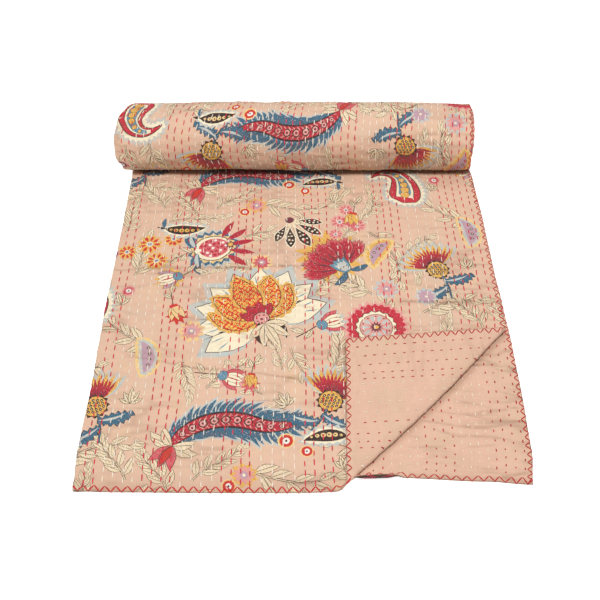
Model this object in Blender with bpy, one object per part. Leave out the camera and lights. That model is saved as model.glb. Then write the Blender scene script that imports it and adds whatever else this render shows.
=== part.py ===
"""Kantha quilt, folded once along its length with the print outside. Its far end is rolled up on top
and its upper front corner is turned back. Metres, +Z up, front hem towards -Y."""
from math import cos, exp, pi, radians, sin, sqrt

import bmesh
import bpy
from mathutils import Vector

# Driving dimensions.
QUILT_LENGTH = 2.286
FOLDED_WIDTH = 0.757
LOOSE_LENGTH = 0.822        # front hem to the axis of the roll
CLOTH_THICK = 0.0016        # the printed face or the plain back, each with its share of the wadding
SEAM_GAP = 0.0003           # between the two cloths
RUN_GAP = 0.001             # between folded runs that lie on each other
TURN_PITCH = 0.0122         # from one turn of the roll to the next
CORE_RADIUS = 0.008

# Worked out from them. The height h is measured from the quilt's middle, plus on the printed side.
FACE_LOW = SEAM_GAP / 2
FACE_HIGH = FACE_LOW + CLOTH_THICK
QUILT_THICK = 2 * FACE_HIGH
STACK_THICK = 2 * QUILT_THICK + RUN_GAP
UPPER_MIDDLE = STACK_THICK - FACE_HIGH
FOLD_RADIUS = (QUILT_THICK + RUN_GAP) / 2          # of the quilt's middle, at the lengthwise fold
FOLD_REACH = FOLD_RADIUS + FACE_HIGH
FOLD_ARC = FOLD_RADIUS * pi / 2
FOLD_STEPS = 6              # round the fold
EDGE_U = FOLDED_WIDTH - FOLD_REACH + FOLD_ARC      # from the fold to a long edge, along the cloth
ROLL_RADIUS = sqrt(CORE_RADIUS ** 2 + (QUILT_LENGTH - LOOSE_LENGTH) * TURN_PITCH / pi)

# The turned corner. Its fold line runs through these two places, given as (across, along).
CORNER_LINE = ((0.4502, 0.0243), (0.7495, 0.3363))
CORNER_RADIUS = 0.005       # of the quilt's middle in the bend
CORNER_SETTLE = 0.055       # over this length the turned cloth comes down onto the upper run
CORNER_DRAW_IN = 0.87       # the turned cloth gathers a little
CORNER_SHEAR = 0.045
CORNER_HEM_DRAW = 0.014     # its hem is drawn along the fold line, where it comes out of the bend
CORNER_BOW = 0.005          # the fold line bows out towards the corner
CORNER_BOW_REACH = 0.05
CORNER_BEND_STEPS = 3
CORNER_SETTLE_STEPS = (0.5, 1.0)

# Outline, a row for each place along: along, lengthwise fold, upper edge, under edge.
OUTLINE = (
    (0.000, -0.376, 0.378, 0.374),
    (0.080, -0.380, 0.378, 0.382),
    (0.205, -0.378, 0.379, 0.384),
    (0.310, -0.380, 0.378, 0.385),
    (0.393, -0.384, 0.380, 0.384),
    (0.494, -0.380, 0.378, 0.380),
    (0.615, -0.378, 0.376, 0.378),
    (0.755, -0.379, 0.371, 0.373),
    (0.822, -0.381, 0.365, 0.366),
)
# Hems, a row for each place across: across, the hems' wave, how far back the under hem lies.
HEMS = (
    (0.000, 0.0045, 0.000),
    (0.060, 0.0020, 0.004),
    (0.200, 0.0005, 0.010),
    (0.380, 0.0000, 0.017),
    (0.460, 0.0030, 0.027),
    (0.540, 0.0020, 0.031),
    (0.680, 0.0010, 0.025),
    (0.757, 0.0000, 0.019),
)
HEM_FADE = 0.12

# The under hem's curl beside the turned corner.
CURL_PLACE = 0.500
CURL_HEIGHT = 0.0045
CURL_HALF_WIDTH = 0.028
CURL_LENGTH = 0.022

# Rows of stitches: where each red group starts across a run, and its count of rows.
UPPER_GROUPS = ((0.017, 2), (0.113, 4), (0.244, 4), (0.382, 4), (0.534, 4), (0.676, 5))
UNDER_GROUPS = ((0.017, 2), (0.113, 4), (0.230, 4), (0.345, 4), (0.463, 4), (0.582, 4), (0.698, 4))
ROW_SPACING = 0.0154
CREAM_ROWS = 4              # between two red groups
ROW_DIP = 0.0008            # how deep a row draws the cloth in
BACK_ROWS_FROM = 0.41       # the back shows only past this place across,
BACK_ROWS_TO = 0.335        # and as far along as this

# Old folding creases across the upper run: place along, depth.
CREASES = ((0.404, 0.0009), (0.489, 0.0010))
CREASE_HALF = 0.012
PLAIN_COLUMNS = [0.04, 0.15, 0.28]                  # across, where no rows are cut
LOOSE_STATIONS = (0.0, 0.012, 0.030, 0.075, 0.200, 0.310, 0.615, 0.755)    # along
ROWS_TO = 0.77              # the upper run is level from here on, where the roll bears on it

# The roll's ends, a row for each direction round it, in degrees from the floor by way of the back:
# degrees, the end by the lengthwise fold, the end by the edges. Then the middles of both ends.
ROLL_ENDS = (
    (0, -0.382, 0.362),
    (70, -0.384, 0.363),
    (143, -0.379, 0.361),
    (190, -0.391, 0.359),
    (233, -0.398, 0.358),
    (285, -0.392, 0.361),
    (323, -0.382, 0.366),
    (360, -0.382, 0.362),
)
ROLL_END_MIDDLES = (-0.389, 0.3635)
# Each end's section, from the rim to the middle: distance in from the end, share of the radius.
ROLL_CAP = ((0.0045, 1.0), (0.0012, 0.985), (0.0, 0.955), (0.0, 0.55), (0.0, 0.12))
ROLL_SIDES = 18
BEARING_SIDES = 2           # this many on each side of the roll's foot bear on what is below
ROLL_SEAT = CLOTH_THICK / 2 # the wound form meets both runs half way into their printed cloth
ROLL_OVERLAP = 0.010        # how far those run on past the roll's axis

PRINT_PINK = (0.80, 0.58, 0.44, 1)
PLAIN_PINK = (0.76, 0.55, 0.42, 1)


def eased(share):
    share = min(max(share, 0.0), 1.0)
    return share * share * (3 - 2 * share)


def between(table, at, column):
    """Reads a column of a table whose first column rises, easing from one row to the next."""
    if at <= table[0][0]:
        return table[0][column]
    for low, high in zip(table, table[1:]):
        if at <= high[0]:
            share = eased((at - low[0]) / (high[0] - low[0]))
            return low[column] + (high[column] - low[column]) * share
    return table[-1][column]


def steps(low, high, count):
    return [low + (high - low) * i / count for i in range(count + 1)]


def stitch_rows(groups):
    """Where the rows lie across a run, from the fold to the edge, with the cream rows filled in."""
    rows = []
    for start, count in groups:
        if rows:
            step = (start - rows[-1]) / (CREAM_ROWS + 1)
            rows += [rows[-1] + step * (i + 1) for i in range(CREAM_ROWS)]
        rows += [start + ROW_SPACING * i for i in range(count)]
    return rows


def with_crests(rows):
    """The rows, and the places half way between them."""
    places = [rows[0]]
    for low, high in zip(rows, rows[1:]):
        places += [(low + high) / 2, high]
    return places


def row_dip(across, rows):
    """How far the rows draw the surface in at a place across a run."""
    for low, high in zip(rows, rows[1:]):
        if low <= across <= high:
            return ROW_DIP * abs((across - low) / (high - low) - 0.5) * 2
    return 0.0


def crease_dip(along):
    return max(depth * max(0.0, 1 - abs(along - place) / CREASE_HALF) for place, depth in CREASES)


def corner_axes():
    """The corner's fold line: its start, its length, its direction and the way out to the corner."""
    start, end = Vector(CORNER_LINE[0]), Vector(CORNER_LINE[1])
    down = (end - start).normalized()
    return start, (end - start).length, down, Vector((down.y, -down.x))


def turn_corner(across, along, h):
    """Where a place on the upper run lies, once its corner is turned back over the fold line."""
    start, length, down_way, out_way = corner_axes()
    place = Vector((across, along)) - start
    out, down = place.dot(out_way), place.dot(down_way)
    z = UPPER_MIDDLE + h
    if out > 0:
        angle = min(out / CORNER_RADIUS, pi)
        over = max(out - pi * CORNER_RADIUS, 0.0)
        out = (CORNER_RADIUS - h) * sin(angle) - over * CORNER_DRAW_IN
        down += over * CORNER_SHEAR + CORNER_HEM_DRAW * eased(angle / pi) * max(0.0, 1 - down / length)
        settled = 2 * CORNER_RADIUS - QUILT_THICK - RUN_GAP
        z = UPPER_MIDDLE + CORNER_RADIUS - (CORNER_RADIUS - h) * cos(angle)
        z -= settled * eased(over / CORNER_SETTLE)
    share = min(max(down / length, 0.0), 1.0)
    out += CORNER_BOW * sin(pi * share) * exp(-(out / CORNER_BOW_REACH) ** 2)
    at = start + down_way * down + out_way * out
    return at.x, at.y, z


def to_outline(across, along, is_under):
    """Fits a place in plan to the outline that the quilt lies in."""
    left = between(OUTLINE, along, 1)
    right = between(OUTLINE, along, 3 if is_under else 2)
    fade = max(0.0, 1 - max(along, 0.0) / HEM_FADE) ** 2
    hem = between(HEMS, across, 1) + (between(HEMS, across, 2) if is_under else 0.0)
    return left + across * (right - left) / FOLDED_WIDTH, along + hem * fade


def lay(u, s, h):
    """Takes a place on the flat quilt to where it lies. u runs across from the lengthwise fold, minus
    on the under run, s runs along from the front hem, and h is above the quilt's middle."""
    if u > FOLD_ARC:
        across, along, z = turn_corner(FOLD_REACH + u - FOLD_ARC, s, h)
        x, y = to_outline(across, along, False)
    elif u < -FOLD_ARC:
        across = FOLD_REACH - u - FOLD_ARC
        x, y = to_outline(across, s, True)
        z = FACE_HIGH - h
        curl = eased(1 - abs(across - CURL_PLACE) / CURL_HALF_WIDTH)
        z += CURL_HEIGHT * curl * max(0.0, 1 - s / CURL_LENGTH) ** 2
    else:
        angle = u / FOLD_RADIUS
        x, y = to_outline(FOLD_REACH - (FOLD_RADIUS + h) * cos(angle), s, False)
        z = STACK_THICK / 2 + (FOLD_RADIUS + h) * sin(angle)
    return Vector((x, y, z))


def columns(under_places, upper_places):
    """The cloth's columns from the under run's edge, round the fold, to the upper run's edge."""
    shift = FOLD_ARC - FOLD_REACH
    under = [-(place + shift) for place in reversed(under_places)]
    upper = [place + shift for place in upper_places]
    return [-EDGE_U] + under + steps(-FOLD_ARC, FOLD_ARC, FOLD_STEPS) + upper + [EDGE_U]


def stations(end):
    creases = [place + side * CREASE_HALF for place, depth in CREASES for side in (-1, 0, 1)]
    return sorted(LOOSE_STATIONS + tuple(creases)) + [end]


def flat_cloth(across, along, low, high):
    """A flat closed cloth with points at these columns and stations, between two heights."""
    bm = bmesh.new()
    last_column, last_station = len(across) - 1, len(along) - 1
    bmesh.ops.create_grid(bm, x_segments=last_column, y_segments=last_station, size=1)
    for v in bm.verts:
        column, station = round((v.co.x + 1) / 2 * last_column), round((v.co.y + 1) / 2 * last_station)
        v.co = (across[column], along[station], low)
    made = bmesh.ops.extrude_face_region(bm, geom=bm.faces[:], use_keep_orig=True)
    for item in made["geom"]:
        if isinstance(item, bmesh.types.BMVert):
            item.co.z = high
    bmesh.ops.recalc_face_normals(bm, faces=bm.faces[:])
    return bm


def score_corner(bm):
    """Cuts the flat cloth along the corner's fold line and beside it, so that it can bend there."""
    start, length, down_way, out_way = corner_axes()
    origin = Vector((start.x - FOLD_REACH + FOLD_ARC, start.y, 0))
    places = steps(0.0, pi * CORNER_RADIUS, CORNER_BEND_STEPS)
    places += [places[-1] + CORNER_SETTLE * share for share in CORNER_SETTLE_STEPS]
    for place in places:
        verts = [v for v in bm.verts if v.co.x > FOLD_ARC]
        edges = [e for e in bm.edges if all(v.co.x > FOLD_ARC for v in e.verts)]
        faces = [f for f in bm.faces if all(v.co.x > FOLD_ARC for v in f.verts)]
        cut = origin + out_way.to_3d() * place
        bmesh.ops.bisect_plane(bm, geom=verts + edges + faces, dist=1e-6, plane_co=cut, plane_no=out_way.to_3d())


def dip_at(u, s, h, is_face):
    """How far the rows and creases draw the showing side in."""
    if abs(u) <= FOLD_ARC or abs(abs(h) - FACE_HIGH) > 1e-6:
        return 0.0
    across = abs(u) - FOLD_ARC + FOLD_REACH
    if is_face:
        shows = u > 0 and s < ROWS_TO
        return max(row_dip(across, stitch_rows(UPPER_GROUPS)), crease_dip(s)) if shows else 0.0
    rows = stitch_rows(UPPER_GROUPS if u > 0 else UNDER_GROUPS)
    shows = across > BACK_ROWS_FROM and s < BACK_ROWS_TO
    return row_dip(across, rows) if shows else 0.0


def lay_cloth(bm, is_face):
    for v in bm.verts:
        u, s, h = v.co
        dip = dip_at(u, s, h, is_face)
        v.co = lay(u, s, h - dip if is_face else h + dip)


def merge_level(bm):
    """Merges neighbouring level faces, and cuts the rest into triangles."""
    bm.normal_update()
    level = [f for f in bm.faces if abs(f.normal.z) > 1 - 1e-9]
    bmesh.ops.dissolve_faces(bm, faces=level, use_verts=True)
    bmesh.ops.triangulate(bm, faces=bm.faces[:])


def roll_point(ring, side):
    """A point of the wound form. Its radius shrinks by the stack's thickness in one turn, so that the
    outer turn comes down onto the upper run."""
    x_share, inset, radius_share, dip = ring
    turn = side / ROLL_SIDES
    fall = (STACK_THICK - ROLL_SEAT) * turn
    bears = min(side, ROLL_SIDES - side) < BEARING_SIDES
    radius = (ROLL_RADIUS - fall - (0.0 if bears else dip)) * radius_share
    low, high = between(ROLL_ENDS, 360 * turn, 1), between(ROLL_ENDS, 360 * turn, 2)
    low += (ROLL_END_MIDDLES[0] - low) * (1 - radius_share) + inset
    high += (ROLL_END_MIDDLES[1] - high) * (1 - radius_share) - inset
    y = LOOSE_LENGTH + radius * sin(2 * pi * turn)
    z = max(ROLL_RADIUS - radius * cos(2 * pi * turn), ROLL_SEAT)
    return Vector((low + (high - low) * x_share, y, z))


def wound_form():
    """The roll, from end to end, drawn in along its rows of stitches."""
    rows = stitch_rows(UNDER_GROUPS)
    rim = ROLL_CAP[0][0]
    rings = [(0.0, inset, share, 0.0) for inset, share in reversed(ROLL_CAP)]
    rings += [(at / FOLDED_WIDTH, rim, 1.0, row_dip(at, rows)) for at in with_crests(rows)]
    rings += [(1.0, inset, share, 0.0) for inset, share in ROLL_CAP]
    bm = bmesh.new()
    side, number = bm.verts.layers.int.new("side"), bm.verts.layers.int.new("number")
    bmesh.ops.create_circle(bm, cap_ends=True, segments=ROLL_SIDES + 1, radius=1)
    for i, v in enumerate(bm.verts):
        v[side] = i
    cap = bm.faces[:]
    for i in range(1, len(rings)):
        made = bmesh.ops.extrude_face_region(bm, geom=cap, use_keep_orig=True)["geom"]
        if i > 1:
            bmesh.ops.delete(bm, geom=cap, context="FACES_ONLY")
        cap = [item for item in made if isinstance(item, bmesh.types.BMFace)]
        for item in made:
            if isinstance(item, bmesh.types.BMVert):
                item[number] = i
    for v in bm.verts:
        v.co = roll_point(rings[v[number]], v[side])
    between_caps = range(len(ROLL_CAP), len(rings) - len(ROLL_CAP))
    bearing = [v for v in bm.verts if min(v[side], ROLL_SIDES - v[side]) < BEARING_SIDES
               and v[number] in between_caps]
    edges = [e for e in bm.edges if all(v in bearing for v in e.verts)]
    bmesh.ops.dissolve_limit(bm, angle_limit=radians(0.02), verts=bearing, edges=edges)
    bmesh.ops.triangulate(bm, faces=bm.faces[:])
    return bm


def make_object(name, bm, colour, roughness):
    bmesh.ops.recalc_face_normals(bm, faces=bm.faces[:])
    mesh = bpy.data.meshes.new(name)
    bm.to_mesh(mesh)
    bm.free()
    material = bpy.data.materials.new(name)
    material.use_nodes = True
    shader = material.node_tree.nodes["Principled BSDF"]
    shader.inputs["Base Color"].default_value = colour
    shader.inputs["Roughness"].default_value = roughness
    mesh.materials.append(material)
    thing = bpy.data.objects.new(name, mesh)
    bpy.context.scene.collection.objects.link(thing)
    return thing


def crests_past(groups, start):
    return [place for place in with_crests(stitch_rows(groups)) if place > start]


def make_face_cloth():
    under = PLAIN_COLUMNS + crests_past(UNDER_GROUPS, BACK_ROWS_FROM)
    bm = flat_cloth(columns(under, crests_past(UPPER_GROUPS, 0)), stations(LOOSE_LENGTH + ROLL_OVERLAP),
                    FACE_LOW, FACE_HIGH)
    score_corner(bm)
    lay_cloth(bm, True)
    merge_level(bm)
    return make_object("face_cloth", bm, PRINT_PINK, 0.85)


def make_back_cloth():
    under = PLAIN_COLUMNS + crests_past(UNDER_GROUPS, BACK_ROWS_FROM)
    upper = PLAIN_COLUMNS + crests_past(UPPER_GROUPS, BACK_ROWS_FROM)
    bm = flat_cloth(columns(under, upper), stations(LOOSE_LENGTH - SEAM_GAP), -FACE_HIGH, -FACE_LOW)
    score_corner(bm)
    lay_cloth(bm, False)
    merge_level(bm)
    return make_object("back_cloth", bm, PLAIN_PINK, 0.9)


def join_roll(cloth):
    """Makes the wound form one with the printed cloth."""
    roll = make_object("wound_form", wound_form(), PRINT_PINK, 0.85)
    roll.hide_render = True
    roll.display_type = "WIRE"
    union = cloth.modifiers.new("join roll", "BOOLEAN")
    union.operation = "UNION"
    union.solver = "EXACT"
    union.object = roll
    return roll


def centre(things):
    """Moves the meshes so that the origin is under the middle of the quilt's box."""
    points = [v.co for thing in things for v in thing.data.vertices]
    low = Vector(min(p[axis] for p in points) for axis in range(3))
    high = Vector(max(p[axis] for p in points) for axis in range(3))
    shift = Vector((-(low.x + high.x) / 2, -(low.y + high.y) / 2, 0))
    for thing in things:
        for v in thing.data.vertices:
            v.co += shift


for old in list(bpy.data.objects):
    bpy.data.objects.remove(old)
face = make_face_cloth()
back = make_back_cloth()
centre([face, back, join_roll(face)])
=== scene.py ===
import math
import bmesh
import bpy
import numpy as np
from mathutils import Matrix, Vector
from mathutils.geometry import delaunay_2d_cdt


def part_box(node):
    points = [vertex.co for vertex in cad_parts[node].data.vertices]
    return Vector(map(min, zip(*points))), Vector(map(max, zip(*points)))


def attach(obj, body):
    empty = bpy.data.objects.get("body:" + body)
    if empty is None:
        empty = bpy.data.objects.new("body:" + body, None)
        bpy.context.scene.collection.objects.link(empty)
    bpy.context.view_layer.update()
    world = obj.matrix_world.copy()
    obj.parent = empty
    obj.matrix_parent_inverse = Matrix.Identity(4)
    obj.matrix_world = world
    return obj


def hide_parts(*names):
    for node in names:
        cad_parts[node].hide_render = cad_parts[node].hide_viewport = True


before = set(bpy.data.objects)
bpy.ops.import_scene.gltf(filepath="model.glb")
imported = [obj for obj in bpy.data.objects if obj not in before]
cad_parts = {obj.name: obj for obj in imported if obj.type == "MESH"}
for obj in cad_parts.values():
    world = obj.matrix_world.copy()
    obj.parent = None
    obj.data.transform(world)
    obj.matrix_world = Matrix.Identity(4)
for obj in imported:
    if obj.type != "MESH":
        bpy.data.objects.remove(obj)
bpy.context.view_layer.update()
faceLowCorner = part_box("face_cloth")[0]
print("stage: the packed quilt is loaded")

# the quilt in metres, flat and folded; the last two are the part's own places before it was centred
quilt = {
    "length": 2.286, "foldedWidth": 0.757, "loose": 0.822,
    "clothThick": 0.0016, "seamGap": 0.0003, "runGap": 0.001,
    "coreRadius": 0.008, "meanPitch": 0.0122, "firstPitch": 0.0087, "mostPitch": 0.020,
    "frontHemY": 0.0, "rollBulgeX": -0.398,
}
faceLow = quilt["seamGap"] / 2
faceHigh = faceLow + quilt["clothThick"]
quiltThick = 2 * faceHigh
stackThick = 2 * quiltThick + quilt["runGap"]
upperMiddle = stackThick - faceHigh
foldRadius = (quiltThick + quilt["runGap"]) / 2
foldReach = foldRadius + faceHigh
foldArc = foldRadius * math.pi / 2
edgeU = quilt["foldedWidth"] - foldReach + foldArc
woundLength = quilt["length"] - quilt["loose"]
rollRadius = math.sqrt(quilt["coreRadius"] ** 2 + woundLength * quilt["meanPitch"] / math.pi)
rollFrom, rollSeenTo = 0.80, 1.325      # the stretch of the length that shows on the roll
originShift = (faceLowCorner.x - quilt["rollBulgeX"], faceLowCorner.y - quilt["frontHemY"])

# the turned corner: its fold line and the left edge it comes to lie with, as (across, along)
corner = {
    "lineStart": (0.4530, 0.0217), "lineEnd": (0.7509, 0.3349),
    "flapLow": (0.4517, 0.0200), "flapHigh": (0.4563, 0.3117),
    "radius": 0.0030, "settle": 0.055, "drawIn": 0.865, "shear": 0.045, "hemDraw": 0.014,
    "bow": 0.005, "bowReach": 0.05,
}
# along, lengthwise fold, upper edge, under edge
outline = (
    (0.000, -0.3778, 0.378, 0.3760), (0.080, -0.3818, 0.378, 0.3845), (0.205, -0.3798, 0.379, 0.3866),
    (0.310, -0.3812, 0.378, 0.3862), (0.393, -0.3828, 0.380, 0.3842), (0.494, -0.3812, 0.378, 0.3802),
    (0.615, -0.3800, 0.376, 0.3784), (0.755, -0.3805, 0.371, 0.3733), (0.822, -0.3812, 0.365, 0.3660),
)
# across, the hems' wave, how far back the under hem lies
hems = (
    (0.000, 0.0048, 0.000), (0.060, 0.0034, 0.004), (0.200, 0.0022, 0.009), (0.380, 0.0018, 0.015),
    (0.460, 0.0040, 0.023), (0.540, 0.0022, 0.0275), (0.680, 0.0010, 0.0222), (0.757, 0.0000, 0.0175),
)
hemFade = 0.12
# the one place across where the under hem curls up
curl = {
    "place": 0.498, "halfWidth": 0.055, "degrees": 128, "broad": 1.4, "length": 0.0215, "fade": 0.060,
    "zigzagIn": 0.0175,
}
# degrees round the roll from the floor by way of the back, left end, right end
rollEnds = (
    (0, -0.382, 0.362), (70, -0.384, 0.362), (143, -0.373, 0.358), (165, -0.3805, 0.357),
    (185, -0.3885, 0.3565), (205, -0.3965, 0.3562), (235, -0.4040, 0.3556), (270, -0.4050, 0.3582),
    (305, -0.3955, 0.3622), (330, -0.387, 0.365), (360, -0.382, 0.362),
)
rollEndMiddles = (-0.389, 0.3635)
# the roll's ends lie a little low, it bulges low on its front, and it is drawn tighter over its top
rollSag = {"depth": 0.0034, "from": 0.17, "reach": 0.20}
rollFoot = {"degrees": 313, "reach": 44, "depth": 0.0070}
rollTop = {"depth": 0.0013, "from": 0.90, "to": 1.05, "fade": 0.06, "end": 1.11}
# groups of red rows by their first row across and their number, with cream rows between the groups
stitching = {
    "upperGroups": ((0.017, 2), (0.113, 4), (0.244, 4), (0.382, 4), (0.534, 4), (0.676, 5)),
    "underGroups": ((0.017, 2), (0.113, 4), (0.230, 4), (0.345, 4), (0.463, 4), (0.582, 4), (0.698, 4)),
    "spacing": 0.0154, "creamRows": 4, "pitch": 0.0195, "faceStitch": 0.0128, "backPick": 0.0080,
    "halfWidth": 0.00112, "creamHalfWidth": 0.00094, "height": 0.00050, "tuck": 0.0006,
    "dip": 0.0013, "wander": 0.0011,
}
# ripples and troughs as layers of noise: amount, cell across, cell along, seed
pucker = {
    "ripples": ((0.58, 0.034, 0.0086, 11), (0.55, 0.060, 0.0130, 12), (0.30, 0.017, 0.0090, 13)),
    "millimetres": 1.35, "varies": 0.40, "louderOnRoll": 1.00, "deepest": 0.0022, "deepestElsewhere": 0.66,
    "troughs": ((1.0, 0.075, 0.0130, 15), (0.35, 0.030, 0.0080, 16)),
    "troughDepth": 0.0013, "troughWidth": 0.17, "smootherOnCorner": 0.64, "foldCrest": 0.8,
}
# painted shade: how dark each kind of hollow, crease and contact is painted; the last numbers say where and
# how far it fades
paintedShade = {
    "crease": 0.0021, "besideFlap": 0.95, "onCorner": 0.16, "besideFold": 0.52,
    "rollFoot": (0.7695, 0.007), "rollFront": (0.30, 1.112, 0.060), "rollTop": (0.05, 1.075, 0.030),
    "upperHem": (0.30, 0.030), "underHem": (0.40, 0.012), "edge": 0.0012,
    "crinkles": 0.75, "all": 1.5, "most": 1.8,
}
# how far the runs lie above level: the upper run's swells, the turned corner, the sagging hem, the under run
lie = {
    "upper": 0.0004, "broad": 0.0013, "small": 0.0005, "corner": 0.0016, "overhang": 0.0034,
    "under": 0.0011, "underSwell": 0.0010, "underPuckers": 1.25, "settleFrom": 0.79,
}
creaseForm = {"wander": 0.0009, "endFade": 0.030, "lip": 0.55, "lipPlace": 1.9, "lipWidth": 1.4}
# creases in each run: points (across, along), depth, half width
creases = {
    "upper": (
        (((0.000, 0.4870), (0.022, 0.4850), (0.070, 0.4925), (0.129, 0.4912), (0.187, 0.4932),
          (0.263, 0.4912), (0.342, 0.4965), (0.400, 0.4932)), 0.0019, 0.0017),
        (((0.550, 0.4022), (0.602, 0.4032), (0.640, 0.4012), (0.699, 0.4032), (0.757, 0.4012)),
         0.0021, 0.0019),
        (((0.030, 0.2890), (0.059, 0.2759), (0.104, 0.2642), (0.146, 0.2525), (0.189, 0.2446),
          (0.265, 0.2388), (0.318, 0.2309), (0.372, 0.2211), (0.425, 0.2150)), 0.0018, 0.0018),
        (((0.262, 0.5304), (0.333, 0.5304), (0.392, 0.5323)), 0.0009, 0.0014),
        (((0.420, 0.4305), (0.458, 0.4305)), 0.0014, 0.0015),
        (((0.615, 0.6028), (0.700, 0.6008)), 0.0009, 0.0015),
        (((0.092, 0.0860), (0.152, 0.0900)), 0.0013, 0.0016),
        (((0.088, 0.0660), (0.155, 0.0685)), 0.0010, 0.0016),
    ),
    "under": (
        (((0.560, 0.1385), (0.599, 0.1351), (0.641, 0.1271), (0.671, 0.1231), (0.715, 0.1185)),
         0.0010, 0.0019),
        (((0.630, 0.1775), (0.677, 0.1712), (0.697, 0.1632), (0.715, 0.1560)), 0.0010, 0.0019),
        (((0.590, 0.1600), (0.628, 0.1538), (0.660, 0.1485), (0.694, 0.1391), (0.757, 0.1370)),
         0.0008, 0.0018),
        (((0.590, 0.1225), (0.640, 0.1070), (0.690, 0.1043), (0.740, 0.0985)), 0.0010, 0.0019),
        (((0.535, 0.1150), (0.560, 0.1060), (0.588, 0.0975)), 0.0008, 0.0018),
        (((0.540, 0.0829), (0.579, 0.0816), (0.622, 0.0860)), 0.0010, 0.0018),
        (((0.637, 0.0812), (0.680, 0.0856), (0.716, 0.0925)), 0.0008, 0.0020),
        (((0.640, 0.0405), (0.680, 0.0330), (0.712, 0.0295)), 0.0007, 0.0020),
        (((0.700, 0.2030), (0.725, 0.1960), (0.757, 0.1865)), 0.0009, 0.0019),
        (((0.712, 0.0190), (0.757, 0.0300)), 0.0010, 0.0024),
        (((0.640, 0.2010), (0.690, 0.1930)), 0.0006, 0.0020),
    ),
}
# on the turned corner the rows drift: across on the level cloth, across on the corner
flapDrift = np.array((
    (0.4282, 0.4282), (0.4705, 0.4560), (0.5128, 0.4880), (0.5340, 0.5072), (0.5494, 0.5205),
    (0.5648, 0.5387), (0.5802, 0.5612), (0.5994, 0.5833), (0.6185, 0.6035), (0.6377, 0.6258),
    (0.6568, 0.6441), (0.6760, 0.6552), (0.6914, 0.6683), (0.7068, 0.6876), (0.7222, 0.7109),
    (0.7376, 0.7327), (0.7600, 0.7600),
))


def eased(share):
    share = np.clip(share, 0.0, 1.0)
    return share * share * (3 - 2 * share)


def between(rows, at, column):
    table = np.array(rows, float)
    at = np.clip(at, table[0, 0], table[-1, 0])
    i = np.clip(np.searchsorted(table[:, 0], at, "right") - 1, 0, len(table) - 2)
    share = eased((at - table[i, 0]) / (table[i + 1, 0] - table[i, 0]))
    return table[i, column] + (table[i + 1, column] - table[i, column]) * share


def softNoise(x, y, seed):
    grid = np.random.default_rng(seed).uniform(-1, 1, (256, 256))
    i, j = np.floor(x).astype(int), np.floor(y).astype(int)
    fx, fy = eased(x - i), eased(y - j)
    i, j = i % 255, j % 255
    low = grid[i, j] * (1 - fx) + grid[i + 1, j] * fx
    high = grid[i, j + 1] * (1 - fx) + grid[i + 1, j + 1] * fx
    return low * (1 - fy) + high * fy


def layeredNoise(across, s, layers):
    return sum(amount * softNoise(across / wide, s / long, seed) for amount, wide, long, seed in layers)


def acrossOf(u):
    # how far across the folded quilt a place on the flat cloth lies
    return foldReach + np.abs(u) - foldArc


def flatU(across):
    # the same the other way, for the upper run
    return across - foldReach + foldArc


def stitchRows(groups):
    rows = []
    for start, count in groups:
        if rows:
            step = (start - rows[-1][0]) / (stitching["creamRows"] + 1)
            rows += [(rows[-1][0] + step * (i + 1), "cream") for i in range(stitching["creamRows"])]
        rows += [(start + stitching["spacing"] * i, "red") for i in range(count)]
    return rows


upperRows, underRows = stitchRows(stitching["upperGroups"]), stitchRows(stitching["underGroups"])


def rowWander(s, row):
    return stitching["wander"] * softNoise(s / 0.11 + 3.7 * row, row * 1.3 + 0 * s, 5)


def drifted(across, along, back=False):
    # where a row lies on the turned corner, or back from there to the level cloth
    start, end = corner["lineStart"], corner["lineEnd"]
    settled = 0.345
    crosses = start[1] + (across - start[0]) * (end[1] - start[1]) / (end[0] - start[0])
    share = eased((settled - along) / np.maximum(settled - crosses, 0.004)) * (across > start[0])
    level, turned = flapDrift[:, 0], flapDrift[:, 1]
    source, target = (turned, level) if back else (level, turned)
    return across + share * (np.interp(across, source, target) - across)


def crinkle(u, across, s):
    # long troughs that wander across the cloth, 0 to 1 deep; the turned corner lies smoother
    off = layeredNoise(across, s, pucker["troughs"])
    here = eased(0.58 + 1.1 * softNoise(across / 0.10 + 4, s / 0.07, 17))
    turned = eased(cornerPlace(across, s)[0] / 0.02) * (u > 0)
    return np.exp(-(off / pucker["troughWidth"]) ** 2) * here * (1 - pucker["smootherOnCorner"] * turned)


def puckers(u, s):
    # what the stitching does to the cloth: troughs along the rows, crosswise ripples between them
    across = acrossOf(u)
    level = np.where(u >= 0, drifted(across, s, True), across)
    crest = np.zeros_like(across)
    for rows, here in ((upperRows, u >= 0), (underRows, u < 0)):
        at = np.array([row[0] for row in rows])
        i = np.clip(np.searchsorted(at, level) - 1, 0, len(at) - 2)
        share = np.clip((level - at[i]) / (at[i + 1] - at[i]), 0, 1)
        crest = np.where(here, np.sin(np.pi * share), crest)
    crest = np.where(across < upperRows[0][0], pucker["foldCrest"], crest)
    ripple = layeredNoise(across, s, pucker["ripples"])
    loud = 1 + pucker["varies"] * softNoise(across / 0.10 + 9, s / 0.12, 14)
    loud = loud + pucker["louderOnRoll"] * eased((s - rollFrom) / 0.04)
    troughs = pucker["troughDepth"] * crinkle(u, across, s) * (0.6 + 0.4 * crest)
    sunk = stitching["dip"] * 0.5 * (1 - np.sqrt(crest)) + troughs
    onTop = eased((s - rollTop["from"]) / rollTop["fade"])
    sunk += rollTop["depth"] * (u < 0) * onTop * (1 - eased((s - rollTop["to"]) / rollTop["fade"]))
    atTop = (u < 0) & (s > rollTop["from"]) & (s < rollTop["end"])
    deepest = -pucker["deepest"] * np.where(atTop, 1.0, pucker["deepestElsewhere"])
    return np.maximum(0.001 * (pucker["millimetres"] * loud * ripple * (0.40 + 0.60 * crest)) - sunk, deepest)


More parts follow.
